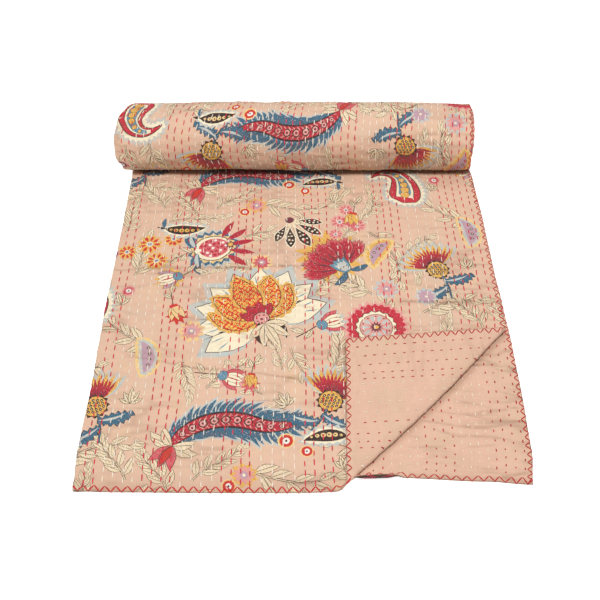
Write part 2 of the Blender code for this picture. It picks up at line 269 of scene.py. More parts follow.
def creaseDepth(across, along, run):
    # the creases' depth, and how dark painted shade makes their troughs, 0 to 1
    form = creaseForm
    out, dark = np.zeros_like(across), np.zeros_like(across)
    for points, depth, halfWidth in creases[run]:
        at, line = np.array([p[0] for p in points]), np.array([p[1] for p in points])
        lies = np.interp(across, at, line) + form["wander"] * softNoise(across / 0.016, across * 0, 21)
        fade = np.ones_like(across)
        if at[0] > 0.0:
            fade = fade * eased((across - at[0]) / form["endFade"])
        if at[-1] < quilt["foldedWidth"]:
            fade = fade * eased((at[-1] - across) / form["endFade"])
        fade = fade * (0.75 + 0.35 * softNoise(across / 0.05, across * 0 + 3, 22))
        off = (along - lies) / halfWidth
        lip = form["lip"] * np.exp(-(off - form["lipPlace"]) ** 2 / form["lipWidth"])
        out = out + depth * fade * (np.exp(-off ** 2) - lip)
        dark = np.maximum(dark, fade * np.exp(-off ** 2) * depth / paintedShade["crease"])
    return out, dark


def besideFlap(across, along):
    # painted shade, 0 to 1, where the upper run lies close by the turned corner's left edge
    low, high = corner["flapLow"], corner["flapHigh"]
    line = low[0] + (along - low[1]) * (high[0] - low[0]) / (high[1] - low[1])
    ends = eased((along - low[1]) / 0.015) * eased((high[1] - along) / 0.015)
    return np.exp(-np.maximum(line - across, 0.0) / 0.0036) * (across < line + 0.010) * ends


def besideFold(across, along):
    # painted shade, 0 to 1, close by the turned corner's fold: on the under run, and on the turned corner
    # itself
    out, down, length = cornerPlace(across, along)[:3]
    ends = eased((down + 0.01) / 0.02) * eased((length - down) / 0.02)
    bow = corner["bow"] * np.sin(math.pi * np.clip(down / length, 0, 1))
    off = np.maximum(out - corner["radius"] - bow, 0.0)
    under = np.exp(-(off / 0.0064) ** 2) * (out > -0.010) * ends
    turned = np.exp(-(np.maximum(out - 2 * corner["radius"], 0.0) / 0.0150) ** 2) * (out > 0) * ends
    return under, turned


def shadeInHollows(u, s):
    # painted shade: how dark a place is painted for lying in a trough, a crease, beside the turned corner or
    # under the roll; the hems' edges get painted shade as well
    across = acrossOf(u)
    upper, under = (u > 0) & (s < quilt["loose"]), (u < 0) & (s < quilt["loose"])
    byFold, onCorner = besideFold(across, s)
    upperDark = creaseDepth(across, s, "upper")[1]
    corners = np.maximum(paintedShade["besideFlap"] * besideFlap(across, s), paintedShade["onCorner"] * onCorner)
    dark = np.where(upper, np.maximum(upperDark, corners), 0.0)
    underDark = np.maximum(creaseDepth(across, s, "under")[1], paintedShade["besideFold"] * byFold)
    dark = np.where(under, underDark, dark)
    # painted shade under the roll's foot, on the roll's front and top, and along the front hem
    start, fade = paintedShade["rollFoot"]
    dark = np.where(upper, np.maximum(dark, eased((s - start) / fade)), dark)
    much, start, fade = paintedShade["rollFront"]
    onRoll = much * eased((s - start) / fade)
    much, start, fade = paintedShade["rollTop"]
    onRoll = onRoll + much * eased((start - s) / fade)
    roll = (u < 0) & (s >= quilt["loose"]) & (s < rollSeenTo)
    dark = np.where(roll, np.maximum(dark, onRoll), dark)
    level = 1 - eased(cornerPlace(across, s)[0] / 0.01)
    much, fade = paintedShade["upperHem"]
    upperHem = much * level * np.exp(-(s / fade) ** 2)
    much, fade = paintedShade["underHem"]
    underHem = much * np.exp(-(s / fade) ** 2) * (np.abs(across - curl["place"]) > curl["halfWidth"])
    dark = np.maximum(dark, np.where(u > 0, upperHem, underHem))
    edge = np.minimum(np.minimum(edgeU - np.abs(u), s), quilt["length"] - s)
    # the crinkles' troughs get painted shade too, and the rim's very edge is painted darkest
    out = paintedShade["crinkles"] * crinkle(u, across, s) + paintedShade["all"] * dark
    return np.clip(out + np.exp(-(edge / paintedShade["edge"]) ** 2), 0, paintedShade["most"])


def swell(across, along):
    # broad lie of the upper run, never below its level place
    broad = lie["broad"] * (1 + softNoise(across / 0.15 + 2, along / 0.17, 31))
    broad = broad + lie["small"] * softNoise(across / 0.05, along / 0.045, 32)
    byRoll = lie["settleFrom"] - along
    settled = eased(byRoll / 0.10) * eased(along / 0.05) * eased(across / 0.03)
    sunk = creaseDepth(across, along, "upper")[0] * eased(byRoll / 0.05)
    return (lie["upper"] + np.maximum(broad, 0)) * settled - sunk


def rollTable():
    # length wound, angle, outer radius and looseness round the roll, for the stack's outer side
    first, circle = quilt["firstPitch"], 2 * math.pi
    angle = np.linspace(0, circle * 9, 4000)
    low, high = first, quilt["mostPitch"]
    for attempt in range(30):
        innerPitch = (low + high) / 2
        pitch = first + (innerPitch - first) * eased((angle / circle - 0.95) / 0.5)
        radius = rollRadius - np.concatenate([[0], np.cumsum(pitch[:-1] * np.diff(angle))]) / circle
        middle = radius - stackThick / 2 * pitch / first
        arc = np.concatenate([[0], np.cumsum(np.maximum(middle[:-1], 1e-4) * np.diff(angle))])
        core = np.interp(woundLength, arc, radius)
        low, high = (innerPitch, high) if core > quilt["coreRadius"] + stackThick * 1.3 else (low, innerPitch)
    return arc, angle, radius, pitch / first


rollArc, rollAngle, rollOuter, rollLoft = rollTable()


def toOutline(across, along, under):
    left = between(outline, along, 1)
    right = np.where(under, between(outline, along, 3), between(outline, along, 2))
    fade = np.maximum(0.0, 1 - np.maximum(along, 0.0) / hemFade) ** 2
    hem = between(hems, across, 1) + np.where(under, between(hems, across, 2), 0.0)
    return left + across * (right - left) / quilt["foldedWidth"], along + hem * fade


def cornerPlace(across, along):
    # out past the corner's fold line, and down along it
    start, end = np.array(corner["lineStart"]), np.array(corner["lineEnd"])
    length = np.linalg.norm(end - start)
    downWay = (end - start) / length
    outWay = np.array((downWay[1], -downWay[0]))
    px, py = across - start[0], along - start[1]
    out, down = px * outWay[0] + py * outWay[1], px * downWay[0] + py * downWay[1]
    return out, down, length, start, downWay, outWay


def turnCorner(across, along, h):
    out, down, length, start, downWay, outWay = cornerPlace(across, along)
    radius = corner["radius"]
    turned = out > 0
    angle = np.clip(out / radius, 0, math.pi)
    over = np.maximum(out - math.pi * radius, 0.0)
    z = upperMiddle + radius - (radius - h) * np.cos(angle)
    z = z - (2 * radius - quiltThick - quilt["runGap"]) * eased(over / corner["settle"])
    z = np.where(turned, z, upperMiddle + h)
    drawn = corner["hemDraw"] * eased(angle / math.pi) * np.maximum(0.0, 1 - down / length)
    down = np.where(turned, down + over * corner["shear"] + drawn, down)
    out = np.where(turned, (radius - h) * np.sin(angle) - over * corner["drawIn"], out)
    share = np.clip(down / length, 0.0, 1.0)
    out = out + corner["bow"] * np.sin(math.pi * share) * np.exp(-(out / corner["bowReach"]) ** 2)
    x, y = (start[i] + downWay[i] * down + outWay[i] * out for i in (0, 1))
    return x, y, z


def layUpper(across, flat, h, own, inRoll):
    # the upper run, with its turned corner, sagging a little where its hem hangs over the under one
    turnedOut = cornerPlace(across, flat)[0]
    flap = eased(turnedOut / 0.012)
    height = h + own * np.where(flap > 0, 0.75, 1.0) * (1 - inRoll)
    ax, ay, az = turnCorner(across, flat, height)
    flapSwell = lie["corner"] * (1 + softNoise(across / 0.09 + 5, flat / 0.07 + 1, 41))
    az = az + swell(ax, ay) + flapSwell * eased(turnedOut / 0.05)
    overhang = eased((between(hems, ax, 2) + 0.006 - ay) / 0.020) * eased(ax / 0.06) * (1 - flap)
    overhang = overhang * eased(-turnedOut / 0.05)
    x, y = toOutline(ax, ay, False)
    return x, y, az - lie["overhang"] * overhang


def layUnder(across, flat, h, own, inRoll):
    # the under run, its hem curled up at one place so that the print under it shows
    tall = eased(curl["broad"] * (1 - np.abs(across - curl["place"]) / curl["halfWidth"]))
    most = np.maximum(math.radians(curl["degrees"]) * tall, 1e-3)
    bent = most * np.maximum(0.0, 1 - flat / curl["length"])
    drawn = curl["length"] * (1 - np.sin(np.minimum(most, math.pi / 2)) / most + 0.24 * tall ** 2 / most)
    drawn = drawn * (1 - eased((flat - curl["length"]) / curl["fade"]))
    along = np.maximum(flat, curl["length"]) - drawn - (curl["length"] / most + h) * np.sin(bent)
    x, y = toOutline(across, along, True)
    bare = eased((cornerPlace(across, flat)[0] + 0.03) / 0.05)
    broad = lie["underSwell"] * (1 + softNoise(across / 0.07, flat / 0.06, 51))
    rise = np.maximum(lie["under"] + own * lie["underPuckers"] + broad, 0)
    rise = (rise - creaseDepth(across, flat, "under")[0]) * bare * eased(flat / 0.012) * (1 - inRoll)
    return x, y, faceHigh + curl["length"] / most * (1 - np.cos(bent)) - h * np.cos(bent) + rise


def layRoll(across, s, h, own):
    # the roll; h is here the depth in from the stack's outer side
    wound = np.maximum(s - quilt["loose"], 0.0)
    turn, outer, loft = (np.interp(wound, rollArc, row) for row in (rollAngle, rollOuter, rollLoft))
    first = eased((2 * math.pi * 1.02 - turn) / 0.8)
    seen = first * eased(turn / 0.5) * eased((2 * math.pi - turn + 0.35) / 0.5)
    ripple = (own + 0.0009 * softNoise(across / 0.10, s / 0.022, 61)) * seen
    fromMiddle = np.abs(across - 0.5 * quilt["foldedWidth"])
    sag = rollSag["depth"] * eased((fromMiddle - rollSag["from"]) / rollSag["reach"])
    sag = sag * np.clip(-np.cos(turn) + 0.3, 0, 1)
    degrees = np.degrees(np.minimum(turn, 2 * math.pi))
    foot = rollFoot["depth"] * eased(1 - np.abs(degrees - rollFoot["degrees"]) / rollFoot["reach"])
    radius = outer - h * loft + ripple - sag + foot
    inner = 1 - np.clip(outer / rollRadius, 0, 1)
    left = between(rollEnds, degrees, 1) * (1 - inner) + rollEndMiddles[0] * inner
    right = between(rollEnds, degrees, 2) * (1 - inner) + rollEndMiddles[1] * inner
    x = left + across * (right - left) / quilt["foldedWidth"]
    return x, quilt["loose"] + radius * np.sin(turn), rollRadius - radius * np.cos(turn)


def lay(u, s, h):
    # u runs across from the lengthwise fold, minus on the under run; s along from the front hem
    u, s, h = (np.array(a, float) for a in np.broadcast_arrays(u, s, h))
    upper, under, rolled = u > foldArc, u < -foldArc, s > quilt["loose"]
    own = puckers(u, s)
    # the hidden inner sides lie smoother
    own = np.where(np.abs(h) < faceHigh / 2, 0.25 * own - 0.0002 * np.sign(h), own)
    flat = np.minimum(s, quilt["loose"])
    runAcross = acrossOf(u)
    edge = np.minimum(np.minimum(edgeU - np.abs(u), s), quilt["length"] - s)
    h = h * (0.62 + 0.38 * eased(edge / 0.0035))
    inRoll = eased((s - lie["settleFrom"]) / 0.03)
    onUpper = layUpper(runAcross, flat, h, own, inRoll)
    onUnder = layUnder(runAcross, flat, h, own, inRoll)
    # the lengthwise fold
    angle = np.clip(u, -foldArc, foldArc) / foldRadius
    foldAcross = foldReach - (foldRadius + h + own * 0.5) * np.cos(angle)
    foldZ = stackThick / 2 + (foldRadius + h + own * 0.5) * np.sin(angle)
    onFold = (*toOutline(foldAcross, flat, False), foldZ)
    across = np.where(upper | under, runAcross, foldAcross)
    onFlat = [np.where(upper, a, np.where(under, b, c)) for a, b, c in zip(onUpper, onUnder, onFold)]
    onRoll = layRoll(across, s, onFlat[2], own)
    x, y, z = (np.where(rolled, a, b) for a, b in zip(onRoll, onFlat))
    return np.stack([x + originShift[0], y + originShift[1], np.maximum(z, 0.0)], -1)


# the print's colours
inks = {
    "ground": (224, 186, 160), "line": (50, 36, 32), "black": (36, 30, 36), "crimson": (190, 32, 60),
    "red": (206, 48, 44), "rose": (216, 96, 108), "pink": (228, 158, 150), "teal": (48, 108, 134),
    "blue": (98, 152, 174), "sky": (172, 202, 204), "mustard": (236, 188, 92), "yellow": (244, 208, 120),
    "cream": (245, 232, 200), "leaf": (241, 220, 184), "plum": (112, 44, 64), "grey": (154, 150, 160),
    "white": (243, 237, 226), "mauve": (190, 154, 168), "scales": (214, 58, 38), "speckle": (196, 36, 62),
}
# the inks that the material patterns, by its number for the pattern
patternedInks = {
    "scales": 1.0, "speckle": 2.0, "leaf": 3.0, "sky": 4.0, "yellow": 4.0,
    "teal": 5.0, "crimson": 5.0, "blue": 5.0, "mustard": 6.0, "rose": 6.0,
}


def blade(length, width, bend=0.0, shoulder=0.42, points=7):
    # a leaf or petal from the origin along +X
    t = np.linspace(0, 1, points)
    turn = bend * t
    steps = np.diff(t, prepend=0) * length
    x, y = np.cumsum(steps * np.cos(turn)), np.cumsum(steps * np.sin(turn))
    half = width / 2 * np.sin(np.pi * t ** (math.log(0.5) / math.log(shoulder)))
    left = np.stack([x - half * np.sin(turn), y + half * np.cos(turn)], 1)
    right = np.stack([x + half * np.sin(turn), y - half * np.cos(turn)], 1)
    return np.concatenate([left, right[-2:0:-1]])


def disc(radius, points=10, squash=1.0):
    a = np.arange(points) * 2 * math.pi / points
    return np.stack([radius * np.cos(a), radius * squash * np.sin(a)], 1)


def star(inner, outer, teeth, lean=0.0):
    i = np.arange(2 * teeth)
    a, r = i * math.pi / teeth + lean * (i % 2), np.where(i % 2 == 0, inner, outer)
    return np.stack([r * np.cos(a), r * np.sin(a)], 1)


def normals(path):
    d = np.gradient(np.array(path, float), axis=0)
    d /= np.maximum(np.linalg.norm(d, axis=1), 1e-9)[:, None]
    return np.stack([-d[:, 1], d[:, 0]], 1)


def bentPath(length, bends, points=16):
    # a path along +X whose heading eases through the bends, in radians
    t = np.linspace(0, 1, points)
    turn = np.interp(t, np.linspace(0, 1, len(bends)), bends)
    steps = np.diff(t, prepend=0) * length
    return np.stack([np.cumsum(steps * np.cos(turn)), np.cumsum(steps * np.sin(turn))], 1), turn


def ribbon(path, widths):
    path = np.array(path, float)
    half = (np.zeros(len(path)) + widths)[:, None] / 2
    n = normals(path)
    return np.concatenate([path + n * half, (path - n * half)[::-1]])


def placed(points, x=0.0, y=0.0, angle=0.0, size=1.0, flip=False):
    p = np.array(points, float) * size * ((1, -1) if flip else (1, 1))
    c, s = math.cos(angle), math.sin(angle)
    return np.stack([x + p[:, 0] * c - p[:, 1] * s, y + p[:, 0] * s + p[:, 1] * c], 1)


def put(shapes, x=0.0, y=0.0, angle=0.0, size=1.0, flip=False):
    return [(ink, placed(points, x, y, angle, size, flip)) for ink, points in shapes]


def grown(points, by):
    nextX, nextY = np.roll(points, -1, 0).T
    area = np.sum(points[:, 0] * nextY - nextX * points[:, 1])
    before, after = points - np.roll(points, 1, 0), np.roll(points, -1, 0) - points
    before = before / np.maximum(np.linalg.norm(before, axis=1), 1e-9)[:, None]
    after = after / np.maximum(np.linalg.norm(after, axis=1), 1e-9)[:, None]
    d = before + after
    d = d / np.maximum(np.linalg.norm(d, axis=1), 0.3)[:, None]
    return points + np.stack([d[:, 1], -d[:, 0]], 1) * (by if area > 0 else -by)


def sawRing(points, teeth, depth):
    # a ring of teeth round an outline
    d = np.linalg.norm(np.roll(points, -1, 0) - points, axis=1)
    at = np.concatenate([[0], np.cumsum(d)])
    closed = np.concatenate([points, points[:1]])
    t = np.linspace(0, at[-1], 2 * teeth, endpoint=False)
    ring = np.stack([np.interp(t, at, closed[:, 0]), np.interp(t, at, closed[:, 1])], 1)
    return ring + (grown(ring, 1.0) - ring) * np.where(np.arange(2 * teeth) % 2 == 0, 0, depth)[:, None]


def fan(shapes, count, radius, first, last):
    out = []
    for a in np.linspace(first, last, count):
        out += put(shapes, radius * math.cos(a), radius * math.sin(a), a)
    return out


def ringOf(shapes, count, radius, start=0.0):
    return fan(shapes, count, radius, start, start + 2 * math.pi * (count - 1) / count)


def lined(ink, points, by=0.0010):
    return [("line", grown(points, by)), (ink, points)]


def sprayLeaf(length, width, bend=0.3):
    leaf = blade(length, width, bend, 0.45, 5)
    t = np.array((0.04, 0.84))
    rib = np.stack([t * length * np.cos(bend * t / 2), t * length * np.sin(bend * t / 2)], 1)
    return [("line", grown(leaf, 0.0010)), ("leaf", leaf), ("line", ribbon(rib, 0.0009))]


def lineSpray(length=0.15, leaves=11, bends=(0.3, 0.0, -0.5), leafLength=0.043, leafWidth=0.0155):
    stem, turn = bentPath(length, bends, 12)
    out = [("line", ribbon(stem, np.linspace(0.0048, 0.0026, 12)))]
    out += [("leaf", ribbon(stem, np.linspace(0.0026, 0.0006, 12)))]
    for i in range(leaves):
        share = 0.10 + 0.90 * i / (leaves - 1)
        k, side = min(int(share * 11), 11), 1 if i % 2 else -1
        leaf = sprayLeaf(leafLength, leafWidth, -0.5 * side)
        out += put(leaf, *stem[k], turn[k] + side * (1.05 - 0.5 * share), 1.05 - 0.35 * share)
    return out + put(sprayLeaf(leafLength * 0.8, leafWidth, 0.2), *stem[-1], turn[-1], 0.8)


def sprig(reach=0.030):
    out = []
    for a, long in ((-0.95, 0.75), (0.95, 0.75), (-0.42, 0.95), (0.45, 0.95), (0.0, 1.15)):
        out += put(sprayLeaf(reach * long, reach * 0.32, 0.3 * a), angle=a)
    return out


def daisies(petal="red", halo="mustard"):
    one = [(halo, star(0.019, 0.027, 12))] + ringOf([(petal, blade(0.0145, 0.0066, 0.0, 0.6, 5))], 9, 0.0066)
    one += [("white", disc(0.0064)), ("grey", disc(0.0046, 8)), ("line", disc(0.0018, 5))]
    out = []
    for x, y, size in ((0, 0, 1.1), (0.050, 0.016, 0.9), (0.020, -0.047, 1.0), (-0.046, -0.022, 0.85)):
        out += put(one, x, y, x * 30, size)
    return out


def berry(ring="red", halo="yellow"):
    out = [(halo, disc(0.0150, 12)), (ring, disc(0.0118, 11))]
    return out + [("white", disc(0.0062, 9)), ("line", disc(0.0022, 6))]


def lotusBloom():
    # a water lily from the side, opening along +X
    out = []
    for ink, size, wide in (("sky", 1.16, 1.22), ("line", 1.018, 1.03), ("cream", 1.0, 1.0)):
        out += fan([(ink, blade(0.128 * size, 0.062 * wide, 0.0, 0.50))], 9, 0.0, -1.75, 1.75)
    out += fan([("line", blade(0.126, 0.0022, 0.0, 0.5, 4))], 8, 0.0, -1.53, 1.53)
    for a in np.linspace(-1.75, 1.75, 9):
        for lean in (-0.16, 0.0, 0.16):
            vein = [("blue" if lean else "leaf", blade(0.030, 0.0026, 0.0, 0.5, 5))]
            out += put(vein, 0.080 * math.cos(a + 0.5 * lean), 0.080 * math.sin(a + 0.5 * lean), a + lean)
    out += fan([("line", blade(0.013, 0.0028, 0.0, 0.5, 4))], 25, 0.075, -1.5, 1.5)
    out += fan([("teal", blade(0.074, 0.040, 0.0, 0.55))], 7, 0.0, -1.35, 1.35)
    out += fan([("sky", blade(0.034, 0.0050, 0.0, 0.5, 5))], 13, 0.030, -1.3, 1.3)
    for a in (-1.35, 1.35, -0.78, 0.78, 0.0):
        petal = blade(0.118 - 0.012 * abs(a), 0.050, -0.45 * a, 0.52, 9)
        toothed = ("mustard", sawRing(grown(petal, 0.005), 15, 0.005))
        out += put([toothed, ("line", grown(petal, 0.0012)), ("scales", petal)], angle=a)
    out += fan(lined("crimson", blade(0.042, 0.021, 0.0, 0.55)), 4, 0.0, -0.9, 0.9)
    out += [("line", disc(0.0165, 14)), ("pink", disc(0.0150, 12))]
    out += ringOf([("plum", disc(0.0022, 5))], 7, 0.0096) + [("plum", disc(0.0030, 7))]
    for side in (-1, 1):
        sepal = lined("black", blade(0.060, 0.019, 0.9 * side, 0.5))
        out += put(sepal, -0.006, 0.008 * side, math.pi - 0.75 * side)
        for k in range(4):
            out.append(("cream", placed(disc(0.0020, 5), -0.014 - 0.009 * k, (0.017 + 0.0075 * k) * side)))
    return out + put(sprig(0.060), -0.012, 0.0, math.pi)


def sawLeaf(length=0.26, bends=(0.95, 0.15, -0.50, 0.40), width=0.036):
    # a long leaf with flame teeth, its middle banded
    path, turn = bentPath(length, bends, 26)
    t = np.linspace(0, 1, 26)
    wide = width * np.sin(np.pi * np.clip(t, 0.03, 0.985) ** 0.8) ** 0.6 + 0.002
    out = []
    for ink, by, reach, thick in (("sky", 0.0040, 0.042, 0.0160), ("teal", 0.0, 0.036, 0.0098)):
        out.append((ink, ribbon(path, wide + 2 * by)))
        for i in range(1, 25):
            for side in (-1, 1):
                root = path[i] + normals(path)[i] * side * (wide[i] / 2 - 0.005)
                size = reach * (0.60 + 0.40 * math.sin(math.pi * t[i])) * (1.0 if (i + side) % 3 else 1.25)
                tooth = blade(size, thick, -0.8 * side, 0.30, 6)
                out.append((ink, placed(tooth, *root, turn[i] + 1.30 * side)))
    out += [("black", ribbon(path, wide * 0.92)), ("crimson", ribbon(path, wide * 0.74))]
    for i in range(2, 24):
        for side in (-1, 1):
            root = path[i] + normals(path)[i] * side * wide[i] * 0.36
            vein = blade(wide[i] * 0.34, 0.0026, 0, 0.5, 5)
            out.append(("pink", placed(vein, *root, turn[i] - 2.3 * side)))
    for i in range(3, 24, 2):
        for ink, share, points in (("black", 1.25, 9), ("pink", 0.92, 8), ("plum", 0.42, 6)):
            out.append((ink, placed(disc(wide[i] * 0.19 * share, points), *path[i])))
    for side in (-1, 1):
        for lean, size in ((1.15, 1.0), (1.7, 0.85)):
            leaf = sprayLeaf(0.052 * size, 0.020 * size, 0.9 * side)
            out += put(leaf, 0.003, 0.0, math.pi + bends[0] + lean * side)
    bud = fan(lined("rose", blade(0.050, 0.018, 0.0, 0.45)), 3, 0.0, -0.45, 0.45)
    bud += lined("red", blade(0.043, 0.014, 0.0, 0.5))
    return out + put(bud, 0.004, 0.0, math.pi + bends[0])


def pomegranate():
    fruit = disc(0.040, 18, 0.86)
    out = []
    rims = (("sky", 0.016, 20, 0.009), ("teal", 0.011, 20, 0.008), ("yellow", 0.004, 16, 0.007))
    for ink, by, teeth, depth in rims:
        out.append((ink, sawRing(grown(fruit, by), teeth, depth)))
    out += [("line", grown(fruit, 0.0022)), ("cream", fruit)]
    out += [("rose", placed(disc(0.033, 16, 0.84), 0.002, 0))]
    for i in range(-3, 4):
        for j in range(-2, 3):
            x, y = 0.0095 * i + 0.0048 * (j % 2), 0.0105 * j
            if (x / 0.031) ** 2 + (y / 0.026) ** 2 < 1:
                out.append(("crimson" if (i + j) % 3 else "white", placed(disc(0.0037, 6), x, y)))
    out += fan([("crimson", blade(0.058, 0.015, 0.0, 0.5))], 5, 0.034, -0.85, 0.85)
    out += [("plum", placed(star(0.007, 0.012, 8), 0.038, 0)), ("mustard", placed(disc(0.0056, 8), 0.038, 0))]
    for side in (-1, 1):
        leaf = [("teal", blade(0.066, 0.023, -0.9 * side, 0.45))]
        leaf += [("sky", blade(0.050, 0.009, -0.9 * side, 0.45, 6))]
        out += put(leaf, -0.034, 0.006 * side, math.pi - 0.95 * side)
    return out + put(lineSpray(0.055, 5, (0, 0.5), 0.028, 0.011), -0.040, 0.0, math.pi)


def paisley(ink="speckle", length=0.160):
    path, turn = bentPath(length, (-0.15, 0.1, 0.55, 1.6, 2.6), 20)
    t = np.linspace(0, 1, 20)
    wide = 0.080 * np.sin(np.pi * t ** 0.52) ** 0.85 * (1 - 0.72 * t) + 0.0015
    body = ribbon(path, wide)
    out = [("sky", sawRing(grown(body, 0.013), 40, 0.009)), ("cream", sawRing(grown(body, 0.007), 36, 0.006))]
    out += [("line", grown(body, 0.0020)), (ink, body)]
    out += [("line", ribbon(path[2:17], wide[2:17] * 0.60 + 0.001))]
    out += [("cream", ribbon(path[2:17], wide[2:17] * 0.56)), ("blue", ribbon(path[3:16], wide[3:16] * 0.40))]
    for i in range(3, 15, 2):
        out += [("line", placed(disc(wide[i] * 0.15 + 0.001, 8), *path[i]))]
        out += [("mustard", placed(disc(wide[i] * 0.15, 8), *path[i]))]
    return out


def bothHalves(half):
    # an outline from its one half, which ends on the axis
    half = np.array(half)
    return np.concatenate([half * (1, -1), half[-2::-1]])


def carnation(petal="crimson", edge="rose"):
    out = [("mustard", placed(star(0.052, 0.078, 15, 0.05), 0.046, 0))]
    half = [(0.020, 0.007), (0.060, 0.016), (0.074, 0.0125), (0.082, 0.0100), (0.077, 0.0062)]
    head = bothHalves(half + [(0.088, 0.0035), (0.082, 0.0)])
    for a in (-1.15, 1.15, -0.76, 0.76, -0.38, 0.38, 0.0):
        out += put([("line", grown(head, 0.0026)), (edge, grown(head, 0.0012))], angle=a)
        out += put([(petal, placed(head, size=0.93)), ("plum", blade(0.058, 0.0050, 0.0, 0.6, 5))], angle=a)
    half = [(-0.014, 0.008), (0.006, 0.017), (0.026, 0.020), (0.021, 0.010), (0.030, 0.006)]
    cup = bothHalves(half + [(0.024, 0.0)])
    out += lined("blue", cup) + [("sky", placed(cup, size=0.66))]
    out += [("line", placed(disc(0.0018, 5), 0.002, y)) for y in (-0.008, 0.0, 0.008)]
    for side in (-1, 1):
        leaf = lined("teal", blade(0.048, 0.014, -0.9 * side, 0.45))
        out += put(leaf, -0.012, 0.004 * side, math.pi - 0.8 * side)
    return out


def rosette(reach=0.060):
    out = [("pink", star(reach * 0.98, reach * 1.14, 26)), ("speckle", star(reach * 0.90, reach, 26))]
    out += [("line", star(reach * 0.64, reach * 0.71, 16)), ("cream", star(reach * 0.61, reach * 0.68, 16))]
    out += [("line", disc(reach * 0.55, 20)), ("pink", disc(reach * 0.53, 20))]
    out += ringOf([("sky", blade(reach * 0.30, reach * 0.16, 0.0, 0.6))], 10, reach * 0.20)
    out += ringOf([("line", disc(reach * 0.030, 5))], 10, reach * 0.45, 0.31)
    return out + [("plum", star(reach * 0.14, reach * 0.25, 12)), ("mustard", disc(reach * 0.09, 8))]


def thistle():
    # a spiky bloom in a scaled cup, with two toothed leaves
    out = fan([("sky", blade(0.072, 0.016, 0.0, 0.55, 6))], 11, 0.010, -1.05, 1.05)
    out += fan([("mustard", blade(0.062, 0.011, 0.0, 0.55, 6))], 11, 0.010, -1.0, 1.0)
    floret = [("crimson", blade(0.052, 0.0066, 0.0, 0.55, 6)), ("plum", blade(0.030, 0.0028, 0.0, 0.55, 5))]
    out += fan(floret, 15, 0.008, -0.95, 0.95)
    cup = disc(0.021, 14, 0.95)
    out += [("line", sawRing(grown(cup, 0.001), 12, 0.005)), ("mustard", cup)]
    for i in range(-2, 3):
        for j in range(-2, 3):
            x, y = 0.0068 * i + 0.0034 * (j % 2), 0.0068 * j
            if x * x + y * y < 0.00030:
                out += [("black", placed(blade(0.0066, 0.0056, 0.0, 0.5, 5), x - 0.003, y))]
                out += [("cream", placed(disc(0.0011, 4), x, y))]
    path = [(-0.075, 0.014), (-0.055, 0.006), (-0.035, 0.001), (-0.018, 0.0)]
    stem = ribbon(path, (0.0026, 0.0034, 0.0036, 0.004))
    out += lined("teal", stem, 0.0007)
    for side, x in ((-1, -0.030), (1, -0.044)):
        leaf = blade(0.064, 0.019, -0.7 * side, 0.5, 9)
        toothed = [("line", sawRing(grown(leaf, 0.0008), 13, 0.006)), ("teal", sawRing(leaf, 13, 0.005))]
        toothed += [("sky", blade(0.050, 0.0050, -0.7 * side, 0.5, 6))]
        out += put(toothed, x, 0.004, math.pi - 1.0 * side)
    return out


def fanBud(ink="rose", halo="sky"):
    # a striped bud on a curved stem
    out = [(halo, placed(star(0.022, 0.033, 11), 0.022, 0))]
    for a in (-0.62, 0.62, -0.3, 0.3, 0.0):
        petal = blade(0.048, 0.017, -0.3 * a, 0.55, 7)
        out += put(lined(ink if abs(a) > 0.4 else "cream", petal, 0.0008), angle=a)
        out += put([("crimson", blade(0.040, 0.0034, -0.3 * a, 0.6, 5))], 0.003, 0.0, a)
    out += lined("blue", placed(disc(0.010, 10, 1.15), 0.004, 0))
    out += [("line", ribbon([(-0.052, -0.012), (-0.030, -0.007), (-0.008, 0.0)], 0.0022))]
    out += put(sprayLeaf(0.030, 0.011, 0.5), -0.034, -0.008, 2.2)
    return out + put(sprayLeaf(0.028, 0.010, -0.5), -0.018, -0.004, -2.2)


def seedPods():
    seeds = (
        (0.020, 0.0, 0.0022), (0.030, 0.0026, 0.0026), (0.031, -0.0040, 0.0020), (0.041, -0.0030, 0.0032),
        (0.043, 0.0046, 0.0026), (0.052, 0.0004, 0.0024),
    )
    out = []
    for a, size in ((-0.95, 0.80), (0.95, 0.80), (-0.48, 0.92), (0.48, 0.92), (0.0, 1.0)):
        pod = blade(0.064, 0.0215, 0.0, 0.62, 9)
        one = [("cream", grown(pod, 0.0026)), ("black", pod)]
        one += [("cream", placed(disc(r, 7), x, y)) for x, y, r in seeds]
        out += put([("leaf", blade(0.030, 0.0075, 0.0, 0.5, 5))] + put(one, 0.022), angle=a, size=size)
    return out + lined("plum", placed(disc(0.0085, 10)))


def tulip(body="mustard", tip="rose"):
    out = [(tip, placed(star(0.012, 0.021, 9), 0.027, 0))]
    out += fan(lined(body, blade(0.037, 0.0135, 0.0, 0.42, 6), 0.0007), 3, 0.0, -0.34, 0.34)
    out += [("red", np.array([(0.0, -0.0065), (0.006, -0.0085), (0.006, 0.0085), (0.0, 0.0065)]))]
    out += [("line", ribbon([(-0.030, 0.004), (-0.014, 0.001), (0.0, 0.0)], 0.0013))]
    out += put(sprayLeaf(0.024, 0.009, 0.5), -0.026, 0.003, 2.5)
    return out + put(sprayLeaf(0.022, 0.008, -0.5), -0.014, 0.001, -2.4)


